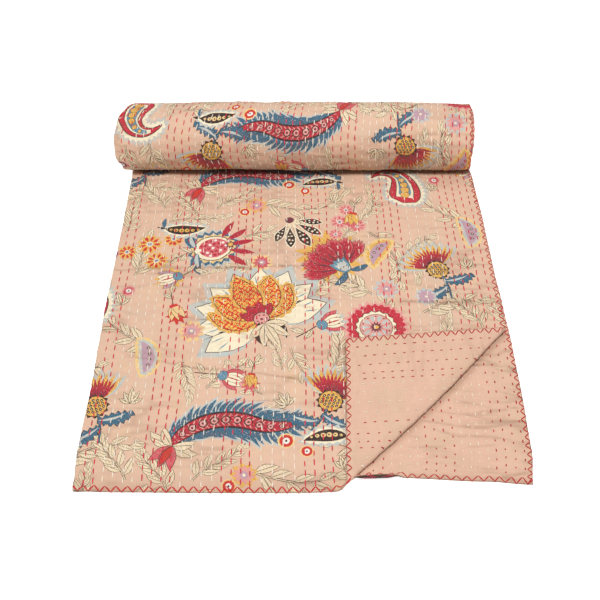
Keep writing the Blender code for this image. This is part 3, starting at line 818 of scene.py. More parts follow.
def peaPod(pea="mustard"):
    # a dark open pod with a row of peas, and curling tips
    pod = blade(0.098, 0.030, 0.55, 0.42, 9)
    out = [("sky", sawRing(grown(pod, 0.0080), 16, 0.0060))]
    out += [("cream", sawRing(grown(pod, 0.0030), 14, 0.0040)), ("black", pod)]
    for i, share in enumerate((0.16, 0.28, 0.41, 0.54, 0.67, 0.80)):
        x, y = 0.098 * share * math.cos(0.275 * share), 0.098 * share * math.sin(0.275 * share)
        r = (0.0036, 0.0054, 0.0064, 0.0060, 0.0048, 0.0032)[i]
        out += [(pea, placed(disc(r, 8), x, y)), ("line", placed(disc(r * 0.36, 5), x + 0.001, y))]
    for side in (-1, 1):
        out += put([("black", blade(0.022, 0.0052, 1.0 * side, 0.4, 5))], 0.002, 0.0, math.pi - 0.5 * side)
    return out + put([("teal", blade(0.034, 0.011, -0.8, 0.45, 6))], 0.0, 0.002, 2.3)


def crescent(ink="mauve", halo="sky"):
    body = blade(0.078, 0.023, 1.25, 0.45, 10)
    out = [("yellow", grown(body, 0.0125)), (halo, sawRing(grown(body, 0.0040), 18, 0.004)), (ink, body)]
    for share in (0.24, 0.40, 0.56, 0.72):
        x, y = 0.078 * share * math.cos(0.625 * share), 0.078 * share * math.sin(0.625 * share)
        out += [("line", placed(disc(0.0034, 7), x, y)), ("cream", placed(disc(0.0016, 5), x, y))]
    return out


def paleBloom(ink="pink", halo="yellow"):
    # a faint flower, printed without lines
    out = [(halo, star(0.020, 0.027, 9)), (ink, star(0.014, 0.022, 11, 0.1))]
    return out + [("mauve", star(0.006, 0.011, 8)), ("cream", disc(0.0034, 6))]


# one repeat of the print; each next column of repeats drops by half. Its sprays, sprigs and motifs
# have their place as u, s and degrees, then their size, and a motif may have colours of its own
tile = {"width": 0.63, "length": 0.64, "startU": -0.045}
sprays = (
    (0.020, 0.055, 20, 1.0), (0.150, 0.300, 150, 1.0), (0.090, 0.470, 60, 0.9),
    (0.330, 0.040, -10, 1.0), (0.470, 0.235, 75, 0.9), (0.560, 0.420, 160, 0.95),
    (0.300, 0.575, 10, 0.9), (0.560, 0.590, -60, 1.0), (0.200, 0.640, 100, 0.8),
    (0.420, 0.500, -35, 0.85), (0.600, 0.150, 110, 0.9), (0.045, 0.260, -80, 0.8),
    (0.250, 0.200, 40, 0.85), (0.600, 0.330, 100, 0.9), (0.130, 0.020, 100, 0.85),
    (0.400, 0.290, -60, 0.8), (0.330, 0.480, 170, 0.8), (0.500, 0.560, 80, 0.8),
    (0.290, 0.130, 20, 0.75), (0.540, 0.085, 170, 0.8), (0.205, 0.265, -100, 0.7),
    (0.020, 0.480, 100, 0.75), (0.440, 0.420, 60, 0.7), (0.140, 0.620, 30, 0.8),
    (0.350, 0.190, 140, 0.7), (0.610, 0.480, 60, 0.8), (0.055, 0.590, 60, 0.75),
    (0.385, 0.240, 110, 0.6), (0.560, 0.640, 75, 0.7), (0.240, 0.020, 60, 0.75),
)
sprigs = (
    (0.255, 0.300, 80), (0.395, 0.165, 120), (0.490, 0.040, 70), (0.120, 0.170, 90), (0.540, 0.300, 95),
    (0.250, 0.490, 60), (0.075, 0.395, 110), (0.420, 0.610, 85),
)
motifs = (
    (lotusBloom, 0.345, 0.360, 118, 1.0), (sawLeaf, 0.200, 0.085, 8, 0.95),
    (pomegranate, 0.240, 0.545, 15, 0.95), (paisley, 0.010, 0.360, 78, 0.95),
    (rosette, 0.560, 0.340, 0, 0.95), (carnation, 0.505, 0.490, 130, 0.95),
    (daisies, 0.110, 0.555, 0, 0.95), (thistle, 0.060, 0.165, 115, 1.0),
    (seedPods, 0.395, 0.625, -60, 1.0), (thistle, 0.470, 0.175, 70, 1.0),
    (fanBud, 0.455, 0.345, 20, 1.0), (fanBud, 0.180, 0.470, -160, 0.95, "mauve", "mustard"),
    (fanBud, 0.275, 0.230, -20, 0.9, "rose", "pink"), (tulip, 0.530, 0.010, -100, 1.1),
    (tulip, 0.175, 0.395, -70, 1.1, "yellow", "red"), (crescent, 0.135, 0.235, 60, 1.0),
    (crescent, 0.600, 0.215, 100, 0.9, "pink"), (berry, 0.395, 0.095, 0, 1.0),
    (berry, 0.430, 0.075, 0, 0.8), (berry, 0.085, 0.430, 0, 0.9, "rose", "pink"),
    (berry, 0.535, 0.225, 0, 0.8), (crescent, 0.600, 0.560, 200, 1.0, "mauve", "mustard"),
    (tulip, 0.330, 0.235, -95, 0.9), (peaPod, 0.135, 0.600, -15, 0.9),
    (peaPod, 0.500, 0.105, 170, 0.8, "yellow"), (paleBloom, 0.215, 0.330, 0, 1.0),
    (paleBloom, 0.030, 0.095, 0, 0.9, "mauve", "sky"), (paleBloom, 0.585, 0.435, 0, 1.0, "pink", "sky"),
    (paleBloom, 0.340, 0.505, 0, 0.9, "rose"), (paleBloom, 0.325, 0.030, 0, 0.9, "pink", "mustard"),
    (berry, 0.300, 0.010, 0, 0.85), (berry, 0.040, 0.530, 0, 0.8, "plum", "pink"),
    (daisies, 0.500, 0.620, 50, 0.75, "rose", "pink"),
)


def tileShapes():
    out = []
    for i, (u, s, degrees, size) in enumerate(sprays):
        bends = ((0.3, 0.0, -0.5), (-0.4, 0.1, 0.6), (0.1, 0.6, 0.2))[i % 3]
        spray = lineSpray(0.120 + 0.03 * (i % 2), 8 + i % 3, bends)
        out += put(spray, u, s, math.radians(degrees), size, i % 2 == 1)
    for u, s, degrees in sprigs:
        out += put(sprig(), u, s, math.radians(degrees))
    for motif, u, s, degrees, size, *colours in motifs:
        out += put(motif(*colours), u, s, math.radians(degrees), size)
    return out


def clothShapes():
    one, out = tileShapes(), []
    for column in range(-2, 2):
        for row in range(-1, 5):
            shift = (tile["startU"] + column * tile["width"], (row + 0.5 * (column % 2)) * tile["length"])
            out += [(ink, points + shift) for ink, points in one]
    # a black patch with crimson stripes where the hem curls up: print, made dark as well to stand for the
    # shade under the curl
    out += put([("black", disc(0.060, 20, 0.36))], -curl["place"], 0.006)
    stripes = fan([("crimson", blade(0.036, 0.0034, 0.0, 0.6))], 3, 0.002, -0.30, 0.30)
    for turn in (0.0, math.pi):
        out += put(stripes, -curl["place"] - 0.006, 0.006, turn)
    return out


# spacings of the printed face's points, and the slack of its print's lines where they show and don't
grain = {
    "rows": 0.0041, "hidden": 0.022, "hiddenTurn": 0.014, "innerTurns": 0.045, "fold": 0.0045,
    "bend": 0.0055, "hem": 0.0052, "crease": 0.0055, "curl": (0.0060, 0.0024), "flap": 0.0060, "rim": 0.0050,
    "slack": 0.00030, "hiddenSlack": 0.0011, "clear": 0.0011, "curlReach": 0.027,
}
# the same for the cloths' inner sides, and for the plain back
innerGrain = {
    "flat": 0.026, "turns": (0.04, 0.014), "innerTurns": 0.08, "fold": 0.02, "bend": 0.012, "crease": 0.014,
    "curl": (0.008, 0.003),
}
backGrain = {
    "seen": 0.0038, "flat": 0.020, "turns": (0.022, 0.012), "innerTurns": 0.06, "fold": 0.02, "bend": 0.0040,
    "hem": 0.0052, "upperCrease": 0.014, "crease": 0.0050, "curl": (0.0050, 0.0021),
    "seenFrom": 0.40, "seenTo": 0.37,       # the turned corner and the under run beside it, across and along
}


def linkPiece(name, mesh):
    piece = bpy.data.objects.new(name, mesh)
    bpy.context.scene.collection.objects.link(piece)
    return piece


def rowGrid(sign, rows, s0, s1, ds):
    # points at the rows, half way between them, and at even stations
    at, edge = np.array([row[0] for row in rows]), quilt["foldedWidth"]
    at = np.concatenate([[0.0105], at, (at[1:] + at[:-1]) / 2, [edge - 0.0125, edge - 0.0065]])
    u = sign * flatU(np.sort(at))
    s = np.linspace(s0, s1, round((s1 - s0) / ds) + 1)
    return np.stack([np.tile(u, len(s)), np.repeat(s, len(u))], 1)


def creasePoints(spacing, run, offs):
    out = []
    for points, depth, halfWidth in creases[run]:
        at = np.arange(points[0][0], points[-1][0], spacing)
        line = np.interp(at, [p[0] for p in points], [p[1] for p in points])
        out += [np.stack([flatU(at), line + off * halfWidth], 1) for off in offs]
    out = np.concatenate(out)
    out = out[(out[:, 0] > foldArc) & (out[:, 0] < edgeU - 0.001)]
    return out if run == "upper" else out * (-1, 1)


def scatter(u0, u1, s0, s1, du, ds):
    # offset rows of points over a rectangle of flat cloth
    columns, rows = max(1, round((u1 - u0) / du)), max(1, round((s1 - s0) / ds))
    s = np.linspace(s0, s1, rows + 1)
    out = []
    for k, at in enumerate(s):
        u = np.linspace(u0, u1, columns + 1)
        if k % 2:
            u = np.concatenate([[u0], (u[1:] + u[:-1]) / 2, [u1]])
        out.append(np.stack([u, np.full(len(u), at)], 1))
    return np.concatenate(out)


def bendLines(spacing):
    # points along lines beside the corner's fold, where the upper run bends
    _, _, length, start, downWay, outWay = cornerPlace(0.0, 0.0)
    out, halfTurn = [], math.pi * corner["radius"]
    places = [[-0.006, -0.003], np.linspace(0, halfTurn, 9), halfTurn + np.array((0.004, 0.009, 0.016))]
    for place in np.concatenate(places):
        down = np.arange(-0.12, length + 0.14, spacing)
        p = start + down[:, None] * downWay + place * outWay
        p[:, 0] -= foldReach - foldArc
        out.append(p[(p[:, 0] < edgeU) & (p[:, 1] > 0) & (p[:, 0] > foldArc)])
    return np.concatenate(out)


def hemPoints(spacing):
    out = []
    for inset in (0.0008, 0.0022, 0.0040):
        u = np.arange(-edgeU + inset, edgeU - inset, spacing)
        out.append(np.stack([u, np.full(len(u), inset)], 1))
        s = np.arange(inset, quilt["length"] - inset, spacing)
        out += [np.stack([np.full(len(s), side * (edgeU - inset)), s], 1) for side in (-1, 1)]
    return np.concatenate(out)


def cellKey(cells):
    # one number for each cell of a grid
    cells = cells.astype(np.int64)
    return cells[:, 0] * 1000003 + cells[:, 1]


def thinned(points, least):
    # drops points that share a cell of this size with an earlier one
    first = np.unique(cellKey(np.round(points / least)), return_index=True)[1]
    return points[np.sort(first)]


clothOutline = np.array([(-edgeU, 0.0), (edgeU, 0.0), (edgeU, quilt["length"]), (-edgeU, quilt["length"])])


def rollStations():
    # stations along the hidden turns, closer where the turns are tighter
    out, turn = [rollSeenTo], np.interp(rollSeenTo - quilt["loose"], rollArc, rollAngle)
    while True:
        turn += math.radians(15)
        s = quilt["loose"] + np.interp(turn, rollAngle, rollArc)
        if s > quilt["length"] - 0.006:
            return np.array(out)
        out.append(s)


def hiddenRoll(du):
    run = np.arange(foldArc, edgeU, du)
    u = np.concatenate([-run[::-1], np.linspace(-foldArc, foldArc, 7)[1:-1], run])
    return np.concatenate([np.stack([u, np.full(len(u), s)], 1) for s in rollStations()])


def rimPoints(spacing):
    s = np.concatenate([np.arange(spacing, rollSeenTo, spacing), rollStations()])
    out = [np.stack([np.full(len(s), side * edgeU), s], 1) for side in (-1, 1)]
    u = np.arange(-edgeU + spacing, edgeU, spacing)
    return np.concatenate(out + [np.stack([u, np.full(len(u), 0.0)], 1)])


def leftFold(spacing):
    s, around = np.arange(0.002, rollSeenTo, spacing), np.linspace(-foldArc, foldArc, 9)
    return np.concatenate([np.stack([np.full(len(s), u), s], 1) for u in around])


def insidePolygon(px, py, polygon):
    inside = np.zeros(len(px), bool)
    for (ax, ay), (bx, by) in zip(polygon, np.roll(polygon, -1, 0)):
        if ay != by:
            inside ^= ((ay > py) != (by > py)) & (px < (bx - ax) * (py - ay) / (by - ay) + ax)
    return inside


def seenOnFace(points):
    # the printed side shows on the upper run in front of the roll, but for its turned corner, and on the roll
    u, s = points[:, 0], points[:, 1]
    out = cornerPlace(acrossOf(u), s)[0]
    upper = (u > -0.012) & (s < 0.83) & (out < 0.02)
    roll = (u < 0.012) & (s > 0.79) & (s < rollSeenTo + 0.01)
    hem = (u < 0) & (s < 0.035)
    return upper | roll | hem


def triangulate(points, lines):
    # each line is its points, and the pairs of their numbers that are edges
    verts, edges = [Vector(p) for p in points], []
    for linePoints, pairs in lines:
        at = len(verts)
        verts += [Vector(p) for p in linePoints]
        edges += [(at + i, at + j) for i, j in pairs]
    made = delaunay_2d_cdt(verts, edges, [], 0, 2e-6)
    co = np.array([tuple(v) for v in made[0]])
    faces = np.array([f for f in made[2] if len(f) == 3], int)
    a, b, c = co[faces[:, 0]], co[faces[:, 1]], co[faces[:, 2]]
    area = (b[:, 0] - a[:, 0]) * (c[:, 1] - a[:, 1]) - (b[:, 1] - a[:, 1]) * (c[:, 0] - a[:, 0])
    faces[area < 0] = faces[area < 0][:, ::-1]
    return co, faces[np.abs(area) > 1e-12]


def loop(points):
    return points, [(i, (i + 1) % len(points)) for i in range(len(points))]


def inkLines(shapes, seen, slack, hiddenSlack):
    # the lines where one ink meets another, the shapes lying over each other, straightened within a slack
    co, faces = triangulate(clothOutline, [loop(p) for ink, p in shapes])
    ink = paintFaces(co[faces].mean(1), shapes)
    edges = np.sort(np.concatenate([faces[:, [0, 1]], faces[:, [1, 2]], faces[:, [2, 0]]]), 1)
    owner = np.tile(ink, 3)
    order = np.lexsort((edges[:, 1], edges[:, 0]))
    edges, owner = edges[order], owner[order]
    meets = (edges[1:] == edges[:-1]).all(1) & (owner[1:] != owner[:-1])
    beside = {}
    for a, b in edges[1:][meets].tolist():
        beside.setdefault(a, set()).add(b)
        beside.setdefault(b, set()).add(a)
    place, room = co.tolist(), np.where(seen(co), slack, hiddenSlack).tolist()
    for tries in range(4):
        for at in [v for v in beside if len(beside[v]) == 2]:
            a, b = beside[at]
            (ax, ay), (bx, by), (x, y) = place[a], place[b], place[at]
            span = math.hypot(bx - ax, by - ay)
            off = abs((bx - ax) * (y - ay) - (by - ay) * (x - ax)) / max(span, 1e-9)
            if off < room[at] * (0.4, 0.6, 0.8, 1.0)[tries] and b not in beside[a] and span < 0.02:
                del beside[at]
                beside[a] ^= {at, b}
                beside[b] ^= {at, a}
    number = {v: i for i, v in enumerate(beside)}
    pairs = [(number[a], number[b]) for a in beside for b in beside[a] if a < b]
    return co[list(beside)], pairs


def clearOf(points, others, room):
    # the points that keep this far from all the others, roughly
    cells = set()
    for dx in (-0.5, 0.0, 0.5):
        for dy in (-0.5, 0.0, 0.5):
            cells.update(cellKey(np.floor(others / room + (dx, dy))).tolist())
    mine = cellKey(np.floor(points / room))
    return points[~np.isin(mine, np.fromiter(cells, np.int64))]


def rimOf(co):
    # the boundary vertices in order, anticlockwise
    near, length = 1e-6, quilt["length"]
    u, s = co[:, 0], co[:, 1]
    sides = ((s < near, u), (u > edgeU - near, s), (s > length - near, -u), (u < -edgeU + near, -s))
    order, seen = [], set()
    for mask, rank in sides:
        ids = np.nonzero(mask)[0]
        for i in ids[np.argsort(rank[ids])]:
            if int(i) not in seen:
                seen.add(int(i))
                order.append(int(i))
    return order


def paintFaces(middles, shapes):
    # the last shape that covers a face gives its ink
    order = np.argsort(middles[:, 0])
    x, y = middles[order, 0], middles[order, 1]
    names = list(inks)
    ink = np.zeros(len(middles), int)
    for name, points in shapes:
        low, high = points.min(0), points.max(0)
        a, b = np.searchsorted(x, low[0]), np.searchsorted(x, high[0])
        if b <= a:
            continue
        near = np.nonzero((y[a:b] > low[1]) & (y[a:b] < high[1]))[0] + a
        if len(near):
            ink[order[near[insidePolygon(x[near], y[near], points)]]] = names.index(name)
    return ink


def onCloth(points):
    # whether a shape of the print reaches the cloth
    (u0, s0), (u1, s1) = points.min(0), points.max(0)
    return u1 > -edgeU and u0 < edgeU and s1 > 0 and s0 < quilt["length"]


def edgeLine(start, end):
    return np.array([start, end]), [(0, 1)]


def setValues(mesh, name, kind, domain, values):
    field = {"FLOAT": "value", "FLOAT_VECTOR": "vector"}[kind]
    mesh.attributes.new(name, kind, domain).data.foreach_set(field, values.astype(np.float32).ravel())


def setInks(mesh, ink):
    # each face's colour, and the number of its pattern; the bare ground has its own
    table = (np.array([inks[k] for k in inks]) / 255.0) ** 2.2
    colour = np.concatenate([table[ink], np.ones((len(ink), 1))], 1)
    layer = mesh.color_attributes.new("inkColour", "FLOAT_COLOR", "CORNER")
    layer.data.foreach_set("color", np.repeat(colour, 3, 0).astype(np.float32).ravel())
    kinds = np.array([patternedInks.get(k, 0.0) for k in inks])
    kinds[0] = -1.0
    setValues(mesh, "inkKind", "FLOAT", "FACE", kinds[ink])


def setMap(mesh, corners, mid, hidden, zones):
    # the UV map: the fine side by its flat zones, the hidden side on a strip at the right
    place = np.zeros_like(corners)
    for u0, u1, s0, s1, x0, x1, y0, y1 in zones:
        here = (mid[:, 0] >= u0) & (mid[:, 0] <= u1) & (mid[:, 1] >= s0) & (mid[:, 1] <= s1)
        place[here, 0] = x0 + (corners[here, 0] - u0) / (u1 - u0) * (x1 - x0)
        place[here, 1] = y0 + (corners[here, 1] - s0) / (s1 - s0) * (y1 - y0)
    place[hidden, 0] = 0.975 + 0.020 * (corners[hidden, 0] + edgeU) / (2 * edgeU)
    place[hidden, 1] = corners[hidden, 1] / quilt["length"]
    layer = mesh.uv_layers.new(name="UVMap")
    layer.data.foreach_set("uv", np.clip(place, 0.0005, 0.9995).astype(np.float32).ravel())


def makeCloth(name, high, low, points, coarse, shapes, zones, seen):
    # a closed cloth: a fine side at the height high, a coarse side at low, joined round the rim
    clipLow, clipHigh = (-edgeU + 1e-4, 1e-4), (edgeU - 1e-4, quilt["length"] - 1e-4)
    shapes = [(ink, np.clip(p, clipLow, clipHigh)) for ink, p in shapes
              if onCloth(p) and (seen(p).any() or np.ptp(p, 0).max() > 0.09)]
    lines = [loop(clothOutline), edgeLine((0.0, 0.0), (0.0, quilt["length"]))]
    lines += [edgeLine((-edgeU, at), (edgeU, at)) for at in (rollFrom, rollSeenTo)]
    if shapes:
        drawn = inkLines(shapes, seen, grain["slack"], grain["hiddenSlack"])
        lines.append(drawn)
        points = clearOf(points, drawn[0], grain["clear"])
    fineCo, fineFaces = triangulate(points, lines)
    rim = rimOf(fineCo)
    coarseCo, coarseFaces = triangulate(coarse, [loop(fineCo[rim])])
    backRim = rimOf(coarseCo)
    count = len(fineCo)
    uv = np.concatenate([fineCo, coarseCo])
    heights = np.concatenate([np.full(count, high), np.full(len(coarseCo), low)])
    place = lay(uv[:, 0], uv[:, 1], heights)
    rimA, rimB = np.array(rim), np.array(backRim) + count
    sideA = np.stack([rimA, rimB, np.roll(rimB, -1)], 1)
    sideB = np.stack([rimA, np.roll(rimB, -1), np.roll(rimA, -1)], 1)
    if high > low:
        faces = np.concatenate([fineFaces, coarseFaces[:, ::-1] + count, sideA, sideB])
    else:
        faces = np.concatenate([fineFaces[:, ::-1], coarseFaces + count, sideA[:, ::-1], sideB[:, ::-1]])
    mesh = bpy.data.meshes.new(name)
    mesh.from_pydata(place.tolist(), [], faces.tolist())
    mesh.polygons.foreach_set("use_smooth", np.ones(len(faces), bool))
    middles, number = uv[faces].mean(1), np.arange(len(faces))
    if shapes:
        ink = np.zeros(len(faces), int)
        ink[:len(fineFaces)] = paintFaces(middles[:len(fineFaces)], shapes)
        rimFaces = number >= len(fineFaces) + len(coarseFaces)
        ink[rimFaces] = paintFaces(middles[rimFaces] * (0.998, 1.0) + (0.0, 0.0012), shapes)
        setInks(mesh, ink)
    setValues(mesh, "clothPlace", "FLOAT_VECTOR", "POINT", np.concatenate([uv, heights[:, None]], 1))
    # painted shade at each point, which the cloth's material reads
    setValues(mesh, "clothShade", "FLOAT", "POINT", shadeInHollows(uv[:, 0], uv[:, 1]))
    hidden = np.repeat(number >= len(fineFaces), 3)
    setMap(mesh, uv[faces].reshape(-1, 2), np.repeat(middles, 3, 0), hidden, zones)
    mesh.validate()
    print("stage:", name, len(faces), "triangles")
    return linkPiece(name, mesh)


def flapSide(spacing):
    # points beside the turned corner's left edge
    low, high = corner["flapLow"], corner["flapHigh"]
    along = np.arange(low[1], high[1], spacing)
    line = flatU(np.interp(along, (low[1], high[1]), (low[0], high[0])))
    return np.concatenate([np.stack([line - off, along], 1) for off in (-0.004, 0.0, 0.0025, 0.0060)])


def curlPoints(du, ds):
    u0, u1 = (flatU(curl["place"] + way * (curl["halfWidth"] + 0.006)) for way in (-1, 1))
    return scatter(-u1, -u0, 0.0, grain["curlReach"], du, ds)


def facePoints():
    zones = [
        rowGrid(1, upperRows, 0.0, rollFrom, grain["rows"]),
        rowGrid(-1, underRows, rollFrom, rollSeenTo, grain["rows"]),
        scatter(-edgeU, -foldArc, 0.0, rollFrom, grain["hidden"], grain["hidden"]),
        scatter(foldArc, edgeU, rollFrom, rollSeenTo, grain["hidden"], grain["hiddenTurn"]),
    ]
    p = zones[0]
    hidden = cornerPlace(acrossOf(p[:, 0]), p[:, 1])[0] > 0.03
    few = (np.round(p[:, 0] / 0.0077) % 2 == 0) & (np.round(p[:, 1] / 0.0039) % 4 == 0)
    zones[0] = p[~hidden | few]
    zones += [
        hiddenRoll(grain["innerTurns"]), leftFold(grain["fold"]), bendLines(grain["bend"]),
        hemPoints(grain["hem"]), creasePoints(grain["crease"], "upper", (-1.8, -0.8, 0.0, 0.8, 1.9)),
        curlPoints(*grain["curl"]), flapSide(grain["flap"]),
    ]
    p = thinned(np.concatenate(zones), 0.0006)
    inside = (np.abs(p[:, 0]) < edgeU - 0.0007) & (p[:, 1] > 0.0007)
    return np.concatenate([rimPoints(grain["rim"]), p[inside]])


def innerPoints():
    # the cloths' inner sides, which don't show
    zones = [
        scatter(-edgeU, edgeU, 0.0, rollFrom, innerGrain["flat"], innerGrain["flat"]),
        scatter(-edgeU, edgeU, rollFrom, rollSeenTo, *innerGrain["turns"]),
        hiddenRoll(innerGrain["innerTurns"]), leftFold(innerGrain["fold"]), bendLines(innerGrain["bend"]),
    ]
    zones += [creasePoints(innerGrain["crease"], run, (-2.2, 0.0, 2.2)) for run in ("upper", "under")]
    zones.append(curlPoints(*innerGrain["curl"]))
    p = thinned(np.concatenate(zones), 0.0004)
    inside = (np.abs(p[:, 0]) < edgeU - 0.002) & (p[:, 1] > 0.002) & (p[:, 1] < quilt["length"] - 0.002)
    return p[inside]


def backPoints():
    start, end, seen, flat = (backGrain[k] for k in ("seenFrom", "seenTo", "seen", "flat"))
    zones = [
        scatter(start, edgeU, 0.0, end, seen, seen), scatter(-edgeU, -start, 0.0, end, seen, seen),
        scatter(-start, start, 0.0, end, flat, flat), scatter(-edgeU, edgeU, end, rollFrom, flat, flat),
        scatter(-edgeU, edgeU, rollFrom, rollSeenTo, *backGrain["turns"]),
        hiddenRoll(backGrain["innerTurns"]), leftFold(backGrain["fold"]), bendLines(backGrain["bend"]),
        hemPoints(backGrain["hem"]), creasePoints(backGrain["upperCrease"], "upper", (-2.2, 0.0, 2.2)),
        creasePoints(backGrain["crease"], "under", (-1.8, -0.9, 0.0, 0.9, 1.8)),
        curlPoints(*backGrain["curl"]),
    ]
    return thinned(np.concatenate(zones), 0.0004)


# flat zones of each cloth and where each lies in its UV map: u0, u1, s0, s1, then x0, x1, y0, y1
pastEnd = 2.287
faceZones = (
    (0.0, edgeU, 0.0, rollFrom, 0.0, 0.60, 0.0, 0.60),
    (-edgeU, 0.0, rollFrom, rollSeenTo, 0.0, 0.60, 0.60, 1.0),
    (-edgeU, 0.0, 0.0, rollFrom, 0.60, 0.97, 0.0, 0.26),
    (-edgeU, 0.0, rollSeenTo, pastEnd, 0.60, 0.97, 0.26, 0.58),
    (0.0, edgeU, rollFrom, pastEnd, 0.60, 0.97, 0.58, 1.0),
)
seenFrom, seenTo = backGrain["seenFrom"], backGrain["seenTo"]
backZones = (
    (seenFrom, edgeU, 0.0, seenTo, 0.0, 0.62, 0.0, 0.50),
    (-edgeU, -seenFrom, 0.0, seenTo, 0.0, 0.62, 0.50, 1.0),
    (-seenFrom, seenFrom, 0.0, seenTo, 0.62, 0.97, 0.0, 0.20),
    (-edgeU, edgeU, seenTo, pastEnd, 0.62, 0.97, 0.20, 1.0),
)

faceCloth = makeCloth(
    "faceCloth", faceHigh, faceLow, facePoints(), innerPoints(), clothShapes(), faceZones, seenOnFace)
backCloth = makeCloth("backCloth", -faceHigh, -faceLow, backPoints(), innerPoints(), [], backZones, None)


# a thread's form, and how much its colour varies by chance and by the side it is worked on
thread = {
    "sides": 5, "rings": 5, "fullness": -0.45, "seat": 0.55, "bulge": 0.0001,
    "chance": 0.55, "lighterOnPrint": 0.45,
}


def threadForm():
    # one stitch: a closed thread along +Z, tapered at its ends, its points and faces in a set order
    bm = bmesh.new()
    bmesh.ops.create_uvsphere(bm, u_segments=thread["sides"], v_segments=thread["rings"], radius=1)
    bm.verts.index_update()
    co = np.array([tuple(v.co) for v in bm.verts])
    order = np.lexsort((np.arctan2(co[:, 1], co[:, 0]).round(4), co[:, 2].round(4)))
    number = np.argsort(order)
    faces = sorted((number[[v.index for v in f.verts]].tolist() for f in bm.faces), key=sorted)
    bm.free()
    return co[order], faces


def makeThreads(name, stitches, halfWidth, height, tuck):
    # threads on the flat cloth from starts to ends, on the printed side (+1) or the plain side (-1)
    starts, ends, side = (np.array(part) for part in zip(*stitches))
    co, faces = threadForm()
    n, k = len(starts), len(co)
    along = ends - starts
    length = np.linalg.norm(along, axis=1)
    way = along / length[:, None]
    across = np.stack([-way[:, 1], way[:, 0]], 1)
    t = (co[:, 2] + 1) / 2
    # fuller than an ellipse along its length
    taper = np.clip(np.sqrt(np.maximum(1 - co[:, 2] ** 2, 0)), 1e-6, 1)
    fullness = taper ** thread["fullness"]
    wide = across[:, None] * (co[:, 0] * fullness * halfWidth)[None, :, None]
    flat = starts[:, None] + along[:, None] * t[None, :, None] + wide
    lift = height * thread["seat"] + co[:, 1] * fullness * height
    lift = lift[None, :] + thread["bulge"] * np.sin(np.pi * t)[None, :]
    sink = tuck * (1 - np.sin(np.pi * t) ** 0.5)[None, :]
    h = side[:, None] * (faceHigh + lift - sink)
    place = lay(flat[:, :, 0].ravel(), flat[:, :, 1].ravel(), h.ravel())
    allFaces = []
    for i in range(n):
        allFaces += [[v + i * k for v in (f[::-1] if side[i] > 0 else f)] for f in faces]
    mesh = bpy.data.meshes.new(name)
    mesh.from_pydata(place.tolist(), [], allFaces)
    mesh.polygons.foreach_set("use_smooth", np.ones(len(allFaces), bool))
    turn = np.tile(np.arctan2(co[:, 1], co[:, 0]), n)
    chance = thread["chance"] * np.random.default_rng(7).random(n) + thread["lighterOnPrint"] * (side > 0)
    data = np.stack([turn, (t[None, :] * length[:, None]).ravel(), np.repeat(chance, k)], 1)
    setValues(mesh, "clothPlace", "FLOAT_VECTOR", "POINT", data)
    print("stage:", name, n, "threads", sum(len(f) - 2 for f in faces) * n, "triangles")
    return linkPiece(name, mesh)


def rowStitches():
    random = np.random.default_rng(3)
    out = {"red": [], "cream": []}
    for sign, rows in ((1, upperRows), (-1, underRows)):
        for index, (across, ink) in enumerate(rows):
            u = sign * flatU(across)
            s = 0.006 + random.uniform(0, stitching["pitch"])
            while s < rollSeenTo - 0.02:
                pitch = stitching["pitch"] * random.uniform(0.88, 1.12)
                long = stitching["faceStitch"] * random.uniform(0.82, 1.12)
                sway = random.uniform(-0.0004, 0.0004, 2)
                a = np.array((u + rowWander(s, sign * index) + sway[0], s))
                b = np.array((u + rowWander(s + long, sign * index) + sway[1], s + long))
                if sign > 0:
                    a[0] += drifted(across, a[1]) - across
                    b[0] += drifted(across, b[1]) - across
                middle = (a + b) / 2
                turnedOut = cornerPlace(acrossOf(middle[0]), middle[1])[0]
                if sign > 0 and middle[1] < rollFrom + 0.004 and turnedOut < 0.006:
                    out[ink].append((a, b, 1.0))
                if sign < 0 and rollFrom + 0.03 < middle[1]:
                    out[ink].append((a, b, 1.0))
                gap = pitch - long
                pick = max(stitching["backPick"] * random.uniform(0.55, 1.35), 0.0034)
                pick = min(pick, gap * 0.9)
                c = b + (0, (gap - pick) / 2)
                if middle[1] < 0.36 and turnedOut > -0.012:
                    out[ink].append((c, c + (0, pick), -1.0))
                s += pitch
    return out


stitches = rowStitches()
height, tuck = stitching["height"], stitching["tuck"]
redRows = makeThreads("redRows", stitches["red"], stitching["halfWidth"], height, tuck)
creamRows = makeThreads("creamRows", stitches["cream"], stitching["creamHalfWidth"], height, tuck)

# the zigzag: its pitch along the hems and the edges, and how deep it reaches in from each of them
edging = {
    "pitch": 0.0181, "edgePitch": 0.0174, "underHem": 0.0140, "upperHem": 0.0094, "underEdge": 0.0088,
    "rollEdge": 0.0062, "cornerEdge": 0.0128, "upperEdge": 0.0094, "over": 0.0005, "uneven": 0.0012,
    "halfWidth": 0.00114, "height": 0.00055, "tuck": 0.0003,
}


def hemDepth(at):
    return edging["underHem"] if at < edgeU else edging["upperHem"]


def underDepth(at):
    return edging["underEdge"] if at < rollFrom else edging["rollEdge"]


def upperDepth(at):
    # the edge that the corner takes along is worked wider
    return edging["cornerEdge"] if at < corner["lineEnd"][1] else edging["upperEdge"]


def zigzag(random, origin, way, inward, length, pitch, depths):
    # the zigzag's points along one edge; they sit further in where the under hem curls up
    count = round(length / pitch) * 2
    half, uneven = length / count, edging["uneven"]
    points = []
    for i in range(count + 1):
        at = min(max(i * half + random.uniform(-uneven, uneven), 0.0015), length - 0.0015)
        depth = -edging["over"] if i % 2 else depths(at) * random.uniform(0.88, 1.1)
        place = np.array(origin) + np.array(way) * at + np.array(inward) * depth
        off = abs(foldReach - place[0] - foldArc - curl["place"])
        if place[1] < 0.05:
            place[1] += curl["zigzagIn"] * eased(curl["broad"] * (1 - off / curl["halfWidth"]))
        points.append(place)
    return points


